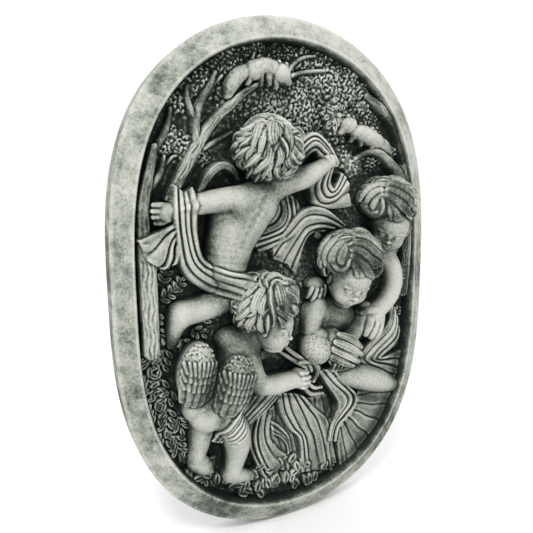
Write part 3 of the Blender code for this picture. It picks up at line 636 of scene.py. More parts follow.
def wing(clay, x, z, level, across, along, turn, seed):
    """A small folded wing: scales above, then rows of longer feathers."""
    dome_deep = 4.2
    base = level - dome_deep
    ball(clay, x, z, base, across * 0.94, along * 0.92, dome_deep, turn, soft=0.3)
    draw = np.random.default_rng(seed)

    def at(u, v, lift):
        dome = max(1 - (u / across) ** 2 - (v / along) ** 2, 0.03)
        dx, dz = turned(u, v, -math.radians(turn))
        return (x + dx, z + dz, base + dome_deep * math.sqrt(dome) + lift)

    stipple(clay, (x, z, base), (across * 0.95, along * 0.93, dome_deep * 1.04), turn, 0.75, 0.12, 1.7)
    for top, long, count in ((0.36, 0.34, 8), (0.14, 0.34, 7), (-0.06, 0.4, 7), (-0.3, 0.62, 5)):
        top, long = along * top, along * long
        room = across * math.sqrt(max(1 - (top / along) ** 2, 0.2)) * 0.96
        for index in range(count):
            u = room * (2 * (index + 0.5) / count - 1)
            reach = long * (1 - 0.3 * (u / across) ** 2) * draw.uniform(0.92, 1.06)
            path = np.array([
                at(u * (1 - 0.2 * part), max(top - reach * part, -along * 1.02), 0.15 + 0.5 * part)
                for part in (0, 0.3, 0.6, 0.85, 1.0)
            ])
            half = 1.06 * room / count
            widths = np.array([0.8, 1.0, 1.0, 1.0, 0.85]) * half
            lifts = np.tile([0.06 * u, 0.2, 1.0], (5, 1))
            strip(clay, path, widths, np.full(5, 0.8), lifts, soft=0.02)


def ground_map():
    """The sunk field with its trees, foliage and leaves."""
    levels = np.full(MAP_SHAPE, FIELD_LEVEL, np.float32)
    for reach, rise in ((2, 0.12), (6, 0.2)):
        rough = blurred(rng.standard_normal(MAP_SHAPE).astype(np.float32), reach)
        levels += rise * rough / rough.std()
    foliage(levels)
    trees(levels)
    low_leaves(levels)
    return levels


def foliage(levels):
    """Clumps, carpets and rosettes of small leaves in the upper field."""
    # Clumps: x, z, radius, level, leaf size
    clumps = (
        (-22.5, 83, 5, 8.6, 0.75), (-27, 80, 3.6, 8.2, 0.7), (-33.5, 76, 3.8, 8.4, 0.7),
        (-38, 72.5, 3.2, 8.2, 0.7), (-43, 67, 3.4, 8.4, 0.7), (-40, 69, 2.6, 8, 0.65),
        (-46, 57, 3.4, 8.2, 0.75), (-42, 53, 4.6, 8.6, 0.8), (-47.5, 52, 2.8, 8.2, 0.75),
        (-34, 48.5, 2.6, 8, 0.7), (-12, 87.5, 3.4, 8.2, 0.75), (-17, 86, 2.6, 8, 0.7),
        (-5, 86.5, 3.6, 8, 0.75), (1, 87.5, 3, 8, 0.8), (6.5, 86, 4.4, 8.6, 0.85), (13, 85.5, 3.8, 8.6, 0.85),
        (8.5, 79, 3.2, 8.4, 0.85), (14, 79, 4.6, 9, 0.9), (20, 81, 4.6, 9.2, 0.9), (20.5, 75.5, 4.6, 9, 0.9),
        (28, 80, 4.6, 9.2, 0.95), (33, 76, 3.6, 9, 0.9), (28, 73.5, 4, 9, 0.9), (5, 73, 4.6, 8.8, 0.85),
        (9, 67.5, 4, 8.8, 0.85), (8, 62, 3.8, 8.6, 0.85), (2.5, 67, 3, 8.2, 0.8), (13, 73, 3, 8.4, 0.85),
        (32.5, 68, 3.4, 8.8, 0.85), (37, 64, 3.2, 8.6, 0.85), (41, 61, 3.2, 8.4, 0.8), (44, 56, 3, 8.2, 0.8),
        (46, 50, 3, 8.2, 0.8), (40, 47, 2.6, 8.4, 0.8), (44, 73, 3, 8, 0.75), (46, 68, 2.2, 8, 0.7),
        (51, 52, 2.6, 8.2, 0.75), (36.5, 79, 2.2, 8.2, 0.8),
    )
    for index, (x, z, radius, level, size) in enumerate(clumps):
        speckle(levels, x, z, radius, level, size, 1.0, seed=index)
    # Carpets of leaves between the clumps: count, middle, reach, level, spread, largest leaf, length
    for count, x, z, wide, tall, level, spread, largest, long in (
        (1500, 18, 72, 28, 17, 6.7, 0.4, 0.8, 1.5), (700, -20, 79, 26, 10, 6.5, 0.3, 0.75, 1.4),
    ):
        for share, angle in spiral(count):
            size = rng.uniform(0.35, largest)
            mound(levels, x + wide * share * math.cos(angle) + rng.uniform(-0.8, 0.8),
                  z + tall * share * math.sin(angle) + rng.uniform(-0.8, 0.8),
                  level + rng.uniform(-spread, spread), size * long, size, 0.6, rng.uniform(0, math.pi))
    # Faint stippled leaves behind the upper figures
    for index, (share, angle) in enumerate(spiral(26)):
        speckle(levels, -13 + 15 * share * math.cos(angle), 68 + 7 * share * math.sin(angle),
                2.1, 6.9, 0.5, 0.5, seed=100 + index)
    for x, z, radius, level, count, seed in (
        (21, 66, 6.2, 9.6, 30, 3), (19.5, 61, 3.4, 9.2, 12, 4), (27.5, 48, 4.2, 9, 14, 5),
        (30, 44.5, 3.4, 8.8, 10, 6), (24.5, 52, 2.4, 8.8, 6, 7), (36, 70, 3, 9, 8, 8), (54, -12, 3, 9, 8, 9),
        (56, -18, 2.8, 8.8, 8, 10), (52.5, -20, 2.4, 8.6, 6, 12),
    ):
        lobed_cluster(levels, x, z, radius, level, count, seed)


def trees(levels):
    """Trunks and branches, with their bark in grooves."""
    stroke(levels, [(-56.5, -19, 8, 3), (-56.5, -8, 8.3, 3), (-56.5, 4, 8.2, 3.1), (-56.5, 14, 8, 3)],
           0.75, 4, 0.36, edge_power=3, rise=2 * BRANCH_RISE)
    stroke(levels, [(-57, 14, 8, 2.6), (-57, 24, 7.6, 2.1), (-56.5, 33, 7.4, 1.9), (-55, 40, 7.4, 1.7),
                    (-53.5, 46, 7.4, 1.5), (-52, 52, 7.4, 1.2)], 0.9, 2, 0.25, rise=2 * BRANCH_RISE)
    for points in (
        [(-52.5, 50, 7.4, 1.1), (-48.5, 56, 7.4, 1.2), (-46.5, 60.5, 7.2, 1), (-45.5, 65, 7, 0.7)],
        [(-54, 38, 7.4, 1.3), (-50, 43, 7.4, 1.1), (-48.3, 49, 7, 0.6)],
        [(-49.2, 45, 7.2, 0.8), (-45.2, 49, 7, 0.5)],
        [(-36.5, 53, 8, 1.7), (-37, 60, 8, 1.4), (-34.5, 68, 7.8, 1.3), (-31, 73.5, 7.6, 1.2),
         (-29, 78, 7.4, 0.8)],
        [(-37, 62, 7.6, 1), (-39.3, 67, 7.6, 1.1), (-39.5, 72, 7.4, 0.8), (-37, 73, 7.2, 0.6)],
        [(-32, 72, 7.6, 1), (-26.5, 77, 7.2, 0.6)],
        [(-34, 52, 8, 1), (-28.5, 55, 7.8, 0.9), (-23.5, 57.7, 7.4, 0.7)],
        [(-15, 81, 7.4, 0.7), (-13.8, 86, 7.2, 0.6)],
        [(-1, 79.5, 9, 0.8), (1.5, 83, 9, 0.8), (6, 85.8, 8.8, 0.7), (11.5, 87, 8.2, 0.5)],
        [(1, 79, 9, 0.9), (7, 80.8, 9, 0.8), (15.5, 82, 8.6, 0.6)],
    ):
        stroke(levels, points, 1.0, 2, 0.2, rise=BRANCH_RISE)
    stroke(levels, [(-47.5, 34.5, 8.2, 1.9), (-42, 44, 8.4, 2.1), (-37.5, 51.5, 8.4, 2.2)], 0.9, 4, 0.5,
           rise=BRANCH_RISE)
    stroke(levels, [(-37.5, 51.5, 8.4, 2.0), (-31, 60.5, 8.6, 1.7), (-24, 67, 8.6, 1.7),
                    (-18.5, 71.5, 8.6, 1.4), (-13, 75, 8.4, 0.9)], 0.9, 4, 0.5, rise=BRANCH_RISE)
    stroke(levels, [(36, 74, 8.8, 1.3), (44, 69, 9, 2), (50, 64.5, 9, 2.2), (54, 57, 8.8, 2),
                    (57, 48, 8.6, 1.8)],
           0.85, 4, 0.4, rise=0.6)
    stroke(levels, [(31, 49, 8.6, 0.9), (36, 51.3, 9, 1.2), (41, 52, 9.2, 1.6), (46.5, 49, 9.4, 1.8),
                    (51.5, 44.5, 9.2, 2.3), (55, 40, 9, 2.6)], 0.85, 4, 0.4, rise=0.6)
    stroke(levels, [(57.5, 46, 8.8, 2.6), (58, 30, 9, 2.6), (58.5, 19, 9, 2.6), (58, 3.5, 9, 2.6),
                    (57.5, -9, 8.6, 2.4)],
           0.8, 4, 0.4, edge_power=3, rise=0.6)
    for z in (4, -2):
        mound(levels, 57, z, 11, 1.2, 1.5, 0.8, dent=1.6)


def low_leaves(levels):
    """Leaves at the foot of the trunk, along the left and over the lower edge."""
    draw = np.random.default_rng(5)
    for x, z, heading, pairs, length in (
        (-56, -18, 4.6, 3, 4.4), (-51, -20, 4.4, 3, 4.2), (-58, -28, 4.9, 3, 4.2), (-53, -31, 4.5, 3, 4.4),
        (-49.5, -36, 4.2, 2, 4.2), (-56.5, -39, 5, 3, 4), (-51, -43, 4.6, 3, 4.2), (-47, -47, 4.9, 2, 4),
        (-53.5, -51, 5.1, 2, 3.8), (-48.5, -54, 4.9, 3, 4.2), (-45, -60, 5.2, 2, 4), (-51, 5, 1.2, 2, 4.2),
        (-51.5, -1, 0.5, 2, 4), (-46.5, 1.5, 0.9, 2, 3.8), (-41, -9.5, 0.5, 2, 3.8), (-36, -11, 0.7, 3, 3.8),
        (-33, -3.5, 1.2, 2, 3.4), (-40, -13.5, 5.6, 2, 3.4), (-31, -9, 0.7, 2, 3.2), (-52, 10, 2.2, 1, 3.2),
        (-53.5, -6, 4.6, 2, 3.4), (-53, -12, 5, 2, 3.2), (-44.5, -17, 5.1, 2, 3.2), (-38, -72, 5.4, 2, 4),
        (-43.5, -68, 5.2, 2, 3.8),
    ):
        sprig(levels, x, z, heading, pairs, length, 7.9)
    for row, (span, height) in enumerate((((-38, 9), -77), ((-33, 14), -81), ((-24, 20), -85.5))):
        steps = int((span[1] - span[0]) / 3.1)
        for index in range(steps):
            x = span[0] + 3.1 * index + draw.uniform(-0.5, 0.5)
            bow = ((x + 6) / 46.0) ** 2
            leaf(levels, x, height + 9 * bow * (1 if x < 0 else 0.6) + draw.uniform(-0.6, 0.6), 8.4 - 0.2 * row,
                 draw.uniform(0, 2 * math.pi), 5.0, 0.34)


def dancing_putto():
    """Upper left: seen from behind, both arms held out."""
    clay = Clay((-60, -24, 3), (22, 66, 29.5))
    limb(clay, [(-9, 39, 10, 6.5), (-17, 29, 9.2, 8.6), (-25, 19, 9, 9.2), (-27, 9, 9, 7.8)], soft=1.5)
    ball(clay, -15.5, 35, 11.5, 7, 5.5, 5, 40, soft=2)
    ball(clay, -27, 24, 9.5, 6, 8, 7.8, 30, soft=2)
    limb(clay, [(-7, 44, 12, 4.6), (-9, 40, 11.5, 5.4)], soft=1.5)
    limb(clay, [(-17, 34.5, 12.5, 5), (-24, 34, 13, 4.6), (-32, 33.3, 13.5, 4.1), (-40, 32, 13.5, 3.5),
                (-47, 30.5, 13, 2.7)], soft=1.6)
    ball(clay, -49.8, 29.7, 12.6, 3.1, 3.5, 2.2, soft=0.8)
    fingers(clay, [(-51, 32.3, 12.8), (-51, 30.4, 13), (-51, 28.5, 12.8), (-50.6, 26.8, 12.4)],
            [(-53.6, 32.4, 11.9), (-54, 30.4, 11.9), (-53.8, 28.4, 11.8), (-53, 26.4, 11.6)], 1.15)
    limb(clay, [(-6, 39.5, 12, 5.8), (-1, 40.6, 12.6, 5), (4.5, 41.6, 13.4, 4.3), (9, 43.7, 14.2, 3.4),
                (14, 46.8, 15, 2.3)], soft=1.6)
    ball(clay, 14.8, 47.6, 15.4, 2.8, 2.4, 2.2, 20, soft=0.7)
    fingers(clay, [(13, 49, 16.3), (14.6, 49.2, 16.6), (16.2, 49, 16.4)],
            [(14.6, 46.2, 16.4), (16, 46, 16.4), (17.4, 46, 16)], 0.8)
    # Crease of the waist and hollow of the back
    limb_cut(clay, [(-14, 34, 19.3, 2.0), (-19, 26, 20.0, 2.3), (-23.6, 17, 19.8, 2.0)], soft=1.0)
    ball(clay, -22.5, 30.5, 12, 4.2, 5.6, 5.2, 30, soft=2.4)
    ball(clay, -12.5, 31, 12, 3.6, 5, 4.4, 30, soft=2.4)
    limb(clay, [(-24, -2, 8, 5.2), (-32, -4.5, 8.8, 5), (-38.5, -6, 9.2, 4.8), (-45, -7, 9.6, 4.6)], soft=1.2)
    limb(clay, [(-45, -7, 9.6, 4.4), (-47, -11, 9.2, 3.5), (-48, -14.5, 9, 2.6), (-48.8, -18.3, 8.6, 1.6)],
         soft=1.2)
    head = Head((-11, 51.3, 14.6), (12.4, 10.9, 11.3), (0.75, 0.55, -0.35), (-0.4, 0.6, 0.5))
    ball(clay, -11, 51.3, 14.0, 11.1, 9.7, 9.9, soft=0.5, under=0.6)
    under_locks(clay, head, (0.1, 0.35, 0.93), 6, 17, 1.25, 21)
    for places, width in (
        (((-24, 53.5), (-25.5, 50), (-24, 47.5)), 1.2), (((-20, 56.5), (-23.5, 55.5), (-25.5, 52.5)), 1.2),
        (((-17, 56), (-20, 53.5), (-23, 52)), 1.3), (((-19, 52), (-22, 50), (-24.5, 47.5)), 1.4),
        (((-15, 50), (-18, 47.5), (-21.5, 45)), 1.4), (((-18, 45), (-20, 42.5), (-22.5, 40.5)), 1.2),
        (((-15, 44), (-17, 41.5), (-19.5, 39.5)), 1.2), (((-11, 48), (-13, 44), (-17, 40.5)), 1.5),
        (((-11, 52), (-12, 48), (-15, 45.5), (-19, 43)), 1.8), (((-8, 52.5), (-7.5, 49), (-8.8, 46)), 1.6),
        (((-13.2, 46), (-12.4, 43.8), (-11.3, 41.8)), 1.5), (((-1, 59), (1.2, 57.5), (3, 55)), 1.3),
        (((-3, 56), (0, 54), (1.5, 51.5)), 1.2), (((-5, 59.5), (-4, 55.5), (-3.2, 52.3)), 1.7),
        (((-7, 55), (-5.5, 52), (-5, 49)), 1.3), (((-15, 60), (-16.5, 55.5), (-18.5, 51.5)), 2.0),
        (((-10, 60.5), (-10.6, 56), (-9.5, 52.6)), 2.5), (((-13, 58), (-14.5, 53.5), (-15.5, 49.5)), 1.5),
        (((-22.5, 58.5), (-21.2, 57), (-19, 58), (-17.5, 59.8)), 1.2),
        (((-22, 59), (-18.5, 61.3), (-13.5, 62.3), (-8.5, 62.3), (-3, 60.3)), 1.3),
    ):
        lock(clay, head, places, width)
    return clay


def winged_putto():
    """Lower left: seen from behind, the face turned to the right."""
    clay = Clay((-54, -84, 3), (10, 12, 29.5))
    limb(clay, [(-18, -19, 9.6, 6), (-23, -26, 8.2, 7.6), (-30, -36, 7.8, 8), (-36, -44, 8.8, 7.8)], soft=1.5)
    ball(clay, -22.5, -20.5, 7.6, 9.5, 6, 5, -14, soft=2)
    limb(clay, [(-17, -12, 11, 5), (-17.5, -18, 11, 5)], soft=1.5)
    ball(clay, -37.5, -46, 11.6, 7.4, 6.4, 6.4, -35, soft=1.2)
    ball(clay, -42, -42.6, 11, 4.6, 5.4, 4.8, 10, soft=0.5)
    limb(clay, [(-38.5, -50, 9.4, 4.8), (-39, -54.5, 9.4, 4.4), (-40, -60, 9, 3.7), (-41.6, -65.5, 9, 2.8)],
         soft=1.2)
    limb(clay, [(-42.2, -65.5, 9.4, 2.8), (-39.5, -67.6, 9.6, 2.9), (-36.6, -69.4, 9.5, 2.2)], soft=1)
    limb(clay, [(-41.4, -63, 9, 2.4), (-38.4, -65.4, 9.4, 2.2), (-36.4, -67, 9.4, 1.9)], soft=1)
    for toe in range(5):
        ball(clay, -34.7 - 0.3 * toe, -64.9 - 1.2 * toe, 9.8, 1.4, 0.66, 0.9, 10, soft=0.15)
    limb(clay, [(-29, -49, 10.8, 6.4), (-26, -55, 11.3, 6), (-24.8, -61, 11, 5.2), (-25.4, -67, 10.6, 4),
                (-26.8, -72, 10.4, 3.4)], soft=1.4)
    limb(clay, [(-28, -73.8, 10.4, 3), (-24, -75, 10.2, 2.9), (-19.5, -76.6, 9.8, 2.1)], soft=1.2)
    for toe in range(4):
        ball(clay, -17.2 + 0.3 * toe, -75.6 - 0.85 * toe, 9.6, 1.4, 0.6, 0.9, -20, soft=0.2)
    head = Head((-14.2, -4.6, 14.2), (12.4, 10.8, 11.4), (0.66, -0.22, 0.72), (0.15, 1, 0.12))
    face(clay, head, (-10.6, -15.4, 14.6), 8.9)
    ball(clay, -14.6, -4.6, 13.8, 11.1, 9.6, 9.8, soft=0.5, under=0.6)
    under_locks(clay, head, (-0.15, 0.35, 0.93), 6, 17, 1.25, 33, bare=0.45)
    for places, width in (
        (((-16, 5), (-20, 5.3), (-24, 2.5)), 1.3), (((-20, 3), (-24, 1), (-26, -2)), 1.3),
        (((-17, 2.5), (-21, -1), (-25, -4)), 1.6), (((-26, -8), (-28, -12), (-27, -15)), 1.3),
        (((-22, -9), (-25, -12), (-25, -15)), 1.4), (((-20, -6), (-23, -8), (-26.5, -10)), 1.5),
        (((-19, -2), (-23, -5), (-24, -9)), 1.8), (((-20, -13), (-22, -16), (-20, -18)), 1.4),
        (((-18, -9), (-21, -12), (-20.5, -16)), 1.8), (((-16, -9), (-16.5, -13), (-14.8, -16)), 1.5),
        (((-13.2, -9), (-13.5, -12), (-14, -15.5)), 1.4), (((-8, -11), (-7, -13.5), (-9, -15)), 1.7),
        (((-9, -8), (-5, -11), (-2, -12)), 1.8), (((-2, -8), (0, -10), (1.3, -11.5)), 1.7),
        (((-5, -1), (-2, -4), (0, -7.5)), 1.9), (((-3, 1), (0, -1.5), (1.5, -5)), 1.4),
        (((-15, 0.5), (-18, -4.5), (-19, -9)), 2.3), (((-14, -2), (-16.2, -6), (-14.5, -10)), 2.1),
        (((-9, 1.5), (-8, -3), (-7, -7.5)), 2.5), (((-12, 1), (-12.4, -4), (-11.3, -9.5), (-11.2, -14)), 1.4),
        (((-14, 2.5), (-10.5, 4.6), (-6.5, 3)), 1.6), (((-6, 3), (-3, 1.5), (-0.5, 1)), 1.2),
    ):
        lock(clay, head, places, width)
    wing(clay, -41.2, -28.5, 17.4, 7.6, 12.4, -10, 1)
    wing(clay, -27.4, -34.6, 19.6, 8, 12.4, -18, 2)
    limb(clay, [(-19.8, -27.5, 13, 4.3), (-18.2, -33, 13.8, 4), (-16, -37.5, 14.4, 3.7)], soft=1.2)
    limb(clay, [(-16, -38, 14.4, 3.6), (-10, -39, 14.6, 3.5), (-4, -38.6, 14.6, 3.1), (0.5, -38.4, 14.6, 2.9)],
         soft=1.2)
    ball(clay, 2, -38.4, 14.8, 3.4, 3.9, 3, soft=0.8)
    fingers(clay, [(1.2, -35.2, 16.8), (1.6, -37.2, 17.2), (1.8, -39.2, 17.2), (1.6, -41, 16.6)],
            [(4.6, -36, 15.4), (5.3, -37.8, 15.6), (5.3, -39.6, 15.6), (4.8, -41.2, 15)], 1.05)
    limb(clay, [(-18.5, -26.2, 10.5, 2.6), (-13, -27, 10.5, 1.8), (-8, -27.4, 10, 0.9)], soft=0.6)
    return clay


def kneeling_putto():
    """Centre right: bent over a bird held in both hands."""
    clay = Clay((2, -56, 3), (56, 26, 29.5))
    ball(clay, 20, -15.5, 7.2, 12.5, 8, 5.4, -10, soft=1.4)
    ball(clay, 12, -12.5, 7.2, 5.5, 4.6, 4, soft=1.4)
    head = Head((25.6, 9.2, 14.0), (14.2, 10.8, 11.2), (-0.12, -0.5, 0.86), (0.12, 1, 0.35))
    face(clay, head, (24.6, -0.2, 14.6), 10.6)
    ball(clay, 25.6, 9.8, 13.4, 12.8, 9.2, 9.8, soft=0.5, under=0.6)
    under_locks(clay, head, (0.0, 0.75, 0.6), 4, 16, 1.25, 45, curl=0.3, bare=0.4)
    for places, width in (
        (((22, 20.5), (15.5, 18.5), (11, 13.5), (10.3, 8.5)), 2.2),
        (((21.5, 19), (16, 15.5), (12.7, 11), (12.3, 7.5)), 2.0),
        (((22, 17), (18, 13), (15.6, 9.5), (17, 6.6)), 2.2),
        (((22.5, 15.5), (20.6, 12.4), (19.6, 9.4), (20.6, 7.4)), 2.0),
        (((14.6, 10.5), (16.5, 7), (19.4, 5), (22.4, 5.8), (24.2, 8.4)), 1.2),
        (((14.5, 8), (17.5, 4.6), (21.5, 3.8)), 1.2),
        (((25, 20.5), (30, 20.8), (34.5, 17.5)), 2.0), (((25, 18.5), (31, 17.6), (37, 13.8), (40.3, 9.5)), 2.2),
        (((24.6, 15.5), (30.5, 14.2), (36.5, 10.5), (41.3, 6.6)), 2.2),
        (((24.6, 13), (29.5, 11.2), (34.5, 7.8), (40.5, 4.6)), 2.0),
        (((26, 8.5), (28.4, 3.5), (31, -0.6), (34, -3.4)), 1.9),
        (((25.4, 10.5), (29.4, 7), (32.6, 3), (36.4, -0.8), (40.2, -1.6)), 2.2),
        (((41, 5), (42.4, 2), (40, -0.6), (37, 0.4)), 1.2), (((27, 6.5), (27.6, 2.5), (29.4, -1.4)), 1.2),
    ):
        lock(clay, head, places, width, thick=1.25, strands=2.2, depth=0.1)
    ball(clay, 14.3, 4.6, 12.5, 1.8, 2.8, 2, 15, soft=0.3)
    ball(clay, 14.5, 4.4, 14.4, 0.9, 1.7, 0.8, 15, soft=0.2, cut=True)
    limb(clay, [(13, -10.5, 9, 4.2), (10.6, -16, 9.6, 3.8), (9.6, -21, 10, 3.3)], soft=1.2)
    # Small hand that rests on the shoulder
    ball(clay, 12, -1.6, 9.6, 4.2, 3.2, 2.4, -10, soft=0.8)
    fingers(clay, [(9.4, -2.4, 11), (11.4, -3.2, 11.4), (13.4, -3.2, 11.4), (15.2, -2.2, 11)],
            [(7.8, -6.2, 9.8), (10, -8, 10), (12.4, -8.2, 10), (15.2, -7.2, 10)], 0.95)
    # Bird with folded wing
    ball(clay, 10.5, -27.5, 12.2, 6, 7, 5.4, 35, soft=0.6)
    ball(clay, 12, -22.3, 12.5, 3.4, 3, 3, soft=1)
    stipple(clay, (10.5, -27.5, 12.2), (6, 7, 5.4), 35, 0.55, -1.0)
    limb(clay, [(18, -24, 12, 4), (22, -28, 12.6, 4.6), (27, -32.5, 12.6, 3.8)], soft=1)
    for start, middle, end, width in (
        ((16, -33, 14.5), (19.5, -36.5, 14.6), (25, -37.5, 14), 1.3),
        ((15, -30.5, 15), (21, -34, 16), (27.5, -37, 14.6), 1.4),
        ((16, -27.5, 16), (22.5, -31, 16.8), (30, -35.6, 15), 1.5),
        ((17, -24.6, 16.4), (24, -28, 17.2), (31.4, -32.6, 15), 1.5),
        ((19, -22, 15.6), (25, -24.6, 16.4), (31.5, -29.6, 14.6), 1.4),
    ):
        path = smooth_path([start, middle, end], 4)
        share = np.linspace(0, 1, len(path))
        widths = width * (0.55 + 0.5 * np.sin(np.pi * (0.15 + 0.75 * share)))
        lifts = np.tile([-0.2, 0.3, 1.0], (len(path), 1))
        strip(clay, path, widths, np.full(len(path), 0.9), lifts, 0.1, 2, 0.2)
    for index in range(4):
        x = 17.6 + 2 * index
        limb(clay, [(x, -34.6, 15.6, 0.7), (x - 0.6, -37.6, 14.8, 0.55)], soft=0.1)
    # Forearm behind the bird, and the thigh
    limb(clay, [(37, -15, 9, 3.8), (33.5, -21, 9.6, 3.8), (28, -26, 10.5, 3.6)], soft=1)
    limb(clay, [(23, -41.5, 10.6, 3), (28, -42.6, 11, 4.8), (36, -45, 11, 5.6), (45, -48.6, 9.8, 5),
                (53, -52, 8, 3.4)], soft=1.4)
    return clay


def leaning_putto():
    """Right: looks down over the other's shoulder."""
    clay = Clay((28, -32, 3), (62, 44, 29.5))
    head = Head((44.6, 31, 12.8), (13.2, 10, 10.4), (-0.52, -0.42, 0.74), (0.12, 1, 0.3))
    face(clay, head, (46.3, 20, 12.8), 9.7)
    limb(clay, [(50, 12, 8.6, 4.6), (47, 8, 9, 4.2)], soft=1.4)
    ball(clay, 44.6, 31.4, 12.2, 11.9, 8.8, 9.0, -10, soft=0.5, under=0.6)
    under_locks(clay, head, (0.0, 0.75, 0.6), 4, 16, 1.25, 57, curl=0.3, bare=0.4)
    for places, width in (
        (((40, 40.5), (34, 39.8), (28.8, 36)), 1.8), (((40, 38.5), (33.5, 36.6), (28.6, 32)), 1.9),
        (((39.5, 36.5), (34.5, 33.6), (31.6, 30)), 1.9),
        (((39.6, 34.4), (36.6, 32), (35, 29), (36.4, 27.6)), 1.5),
        (((32, 31), (34, 28.2), (38, 27.4)), 1.2), (((42, 40.5), (48, 39.8), (54.5, 36)), 2.0),
        (((42, 38.5), (49, 36.8), (56.5, 32)), 2.2), (((42, 36.5), (49, 33.8), (56.5, 29)), 2.2),
        (((42, 34.4), (48, 31), (54.5, 25.6)), 2.2), (((42, 32.4), (45.2, 28), (48.4, 24), (52, 21.6)), 2.0),
        (((42.4, 31), (44, 27.4), (44.8, 24.2)), 1.4), (((56, 29.4), (58.4, 26), (56, 24), (53, 25.4)), 1.2),
        (((51.5, 22), (55.5, 20.8), (58.4, 23)), 1.2), (((39.4, 33), (40.4, 29.6), (39, 26.4)), 1.1),
    ):
        lock(clay, head, places, width, thick=1.25, strands=2.2, depth=0.1)
    limb(clay, [(46.5, 9, 10.5, 3.6), (49.8, 4, 11.2, 3.5), (51, -2, 11.6, 3.5), (49.4, -8.4, 12, 3.4),
                (45, -13, 12.4, 3.4), (40.5, -15.6, 12.8, 3.5)], soft=1.2)
    ball(clay, 40, -18.5, 12.8, 4.6, 5, 3.6, 10, soft=1)
    fingers(clay, [(36.6, -18.6, 14.8), (39, -20, 15.2), (41.6, -20.4, 14.8)],
            [(34.6, -24.6, 13.6), (37.4, -26.2, 13.8), (40.6, -26.4, 13.6)], 1.45)
    limb(clay, [(39, -14.6, 14.4, 1.7), (35.6, -14.4, 14.4, 1.4), (32.4, -15, 13.8, 1.1)], soft=0.5)
    return clay


def animals():
    """A squirrel on the long branch, and a smaller one at the right."""
    clay = Clay((-30, 48, 3), (54, 94, 29.5))
    limb(clay, [(-24.6, 70.2, 9.6, 1.3), (-23.6, 73.6, 10, 2.4), (-21.2, 77, 10.2, 2.8),
                (-17.6, 79.4, 10.2, 2.1)], soft=0.4)
    ball(clay, -14.8, 79.6, 10.6, 3.6, 3.5, 3.1, 20, soft=0.5)
    limb(clay, [(-14, 80.2, 10.8, 2.9), (-10.8, 81.4, 11, 2.7), (-7.6, 80.8, 11, 2.6)], soft=0.6)
    ball(clay, -4.2, 79.2, 11.4, 3.5, 3.3, 2.9, -25, soft=0.4)
    limb(clay, [(-2.8, 78, 11.4, 2.1), (-1, 76, 11.2, 1.1)], soft=0.4)
    for x, z in ((-5.2, 82.4), (-2.2, 81.8)):
        ball(clay, x, z, 11.6, 0.9, 1.4, 0.9, soft=0.1)
    for hip, foot in (((-16, 78), (-17, 74.6)), ((-12.6, 78.2), (-11.8, 75)), ((-8.6, 78.6), (-8.2, 75.4)),
                      ((-6, 77.4), (-5.4, 74.4))):
        limb(clay, [(*hip, 10.6, 1.5), (*foot, 9.8, 0.8)], soft=0.4)
    ball(clay, 26.6, 62, 10.8, 3.4, 3, 2.8, 15, soft=0.4)
    limb(clay, [(25.6, 61, 10.8, 1.9), (23.2, 59, 10.4, 1)], soft=0.4)
    for x, z in ((26.4, 65), (28.8, 64.4)):
        ball(clay, x, z, 10.6, 0.9, 1.3, 0.9, soft=0.1)
    limb(clay, [(29.6, 59.8, 10.8, 2.1), (33, 59.2, 11, 3), (37, 57.6, 10.8, 3.1), (41, 56.2, 10.4, 2.7)],
         soft=0.6)
    limb(clay, [(41, 56, 10.2, 1.8), (45, 55, 9.8, 2), (49, 52.4, 9.4, 1.2)], soft=0.5)
    for hip, foot in (((30, 58.6), (28.4, 56)), ((33, 57.6), (33.4, 54.6)), ((39, 55.4), (38.6, 52.6))):
        limb(clay, [(*hip, 10.6, 1.4), (*foot, 9.6, 0.8)], soft=0.4)
    coat = blurred(rng.standard_normal(clay.field.shape).astype(np.float32), 1)
    clay.field += 0.05 * coat / coat.std()
    return clay


def flying_cloth(clay):
    """Cloth behind the upper figures."""
    # Arched garland beside the long branch
    levels = np.zeros(MAP_SHAPE, np.float32)
    stroke(levels, [(-37, 36, 9.6, 0.9), (-34.8, 40.5, 9.8, 1.4), (-31, 44.6, 9.8, 1.6), (-27, 46, 9.6, 1.4),
                    (-23.5, 43.6, 9.4, 1.2), (-22.2, 41.4, 9.2, 0.9)], 0.8, 3, 0.3, rise=BRANCH_RISE)
    lay_map(clay, levels)
    # Swag under the right arm
    cloth(clay, [
        [(-6.5, 35, 10.6), (-5, 29.5, 11), (-8, 25.5, 11.5), (-14.5, 22.4, 10.6)],
        [(-3.5, 35, 10.6), (-2, 28.5, 11), (-6, 23.5, 11.5), (-15, 19.4, 10.6)],
        [(0, 35, 10.5), (1, 26.5, 11), (-3.5, 21, 11.5), (-15.4, 16.6, 10.6)],
        [(3.4, 33, 10), (3.6, 25.5, 11), (-0.5, 19.2, 11.5), (-14, 13.8, 10.4)],
    ], 5, depth=1.7, edge=1.1, seed=1)
    # Cloth that flies up behind the kneeling putto's head
    cloth(clay, [
        [(25.5, 21.6, 11.6), (20.5, 25, 12.4), (14.5, 28.4, 13), (8, 29.2, 13), (2, 26, 12.5),
         (-7.8, 14, 10.5)],
        [(23.5, 21, 10.8), (18, 23.6, 11.5), (13, 25.2, 12), (7.6, 25, 12), (3, 21.6, 12), (-7, 10, 10.5)],
        [(18, 20.6, 10.6), (14, 21.6, 11), (10.5, 21.8, 11.5), (7, 20.4, 11.5), (4.4, 17, 11.3),
         (-1.5, 8, 10.5)],
        [(16, 19.8, 10.2), (13, 20.4, 10.4), (10, 19.8, 10.4), (7.4, 17.4, 10.4), (5.6, 13, 10), (2.6, 4, 9.5)],
    ], 4, depth=2.0, edge=1.0, seed=2)
    ball(clay, 12.4, 18.4, 10, 1.5, 1.4, 1.3, soft=1.0)


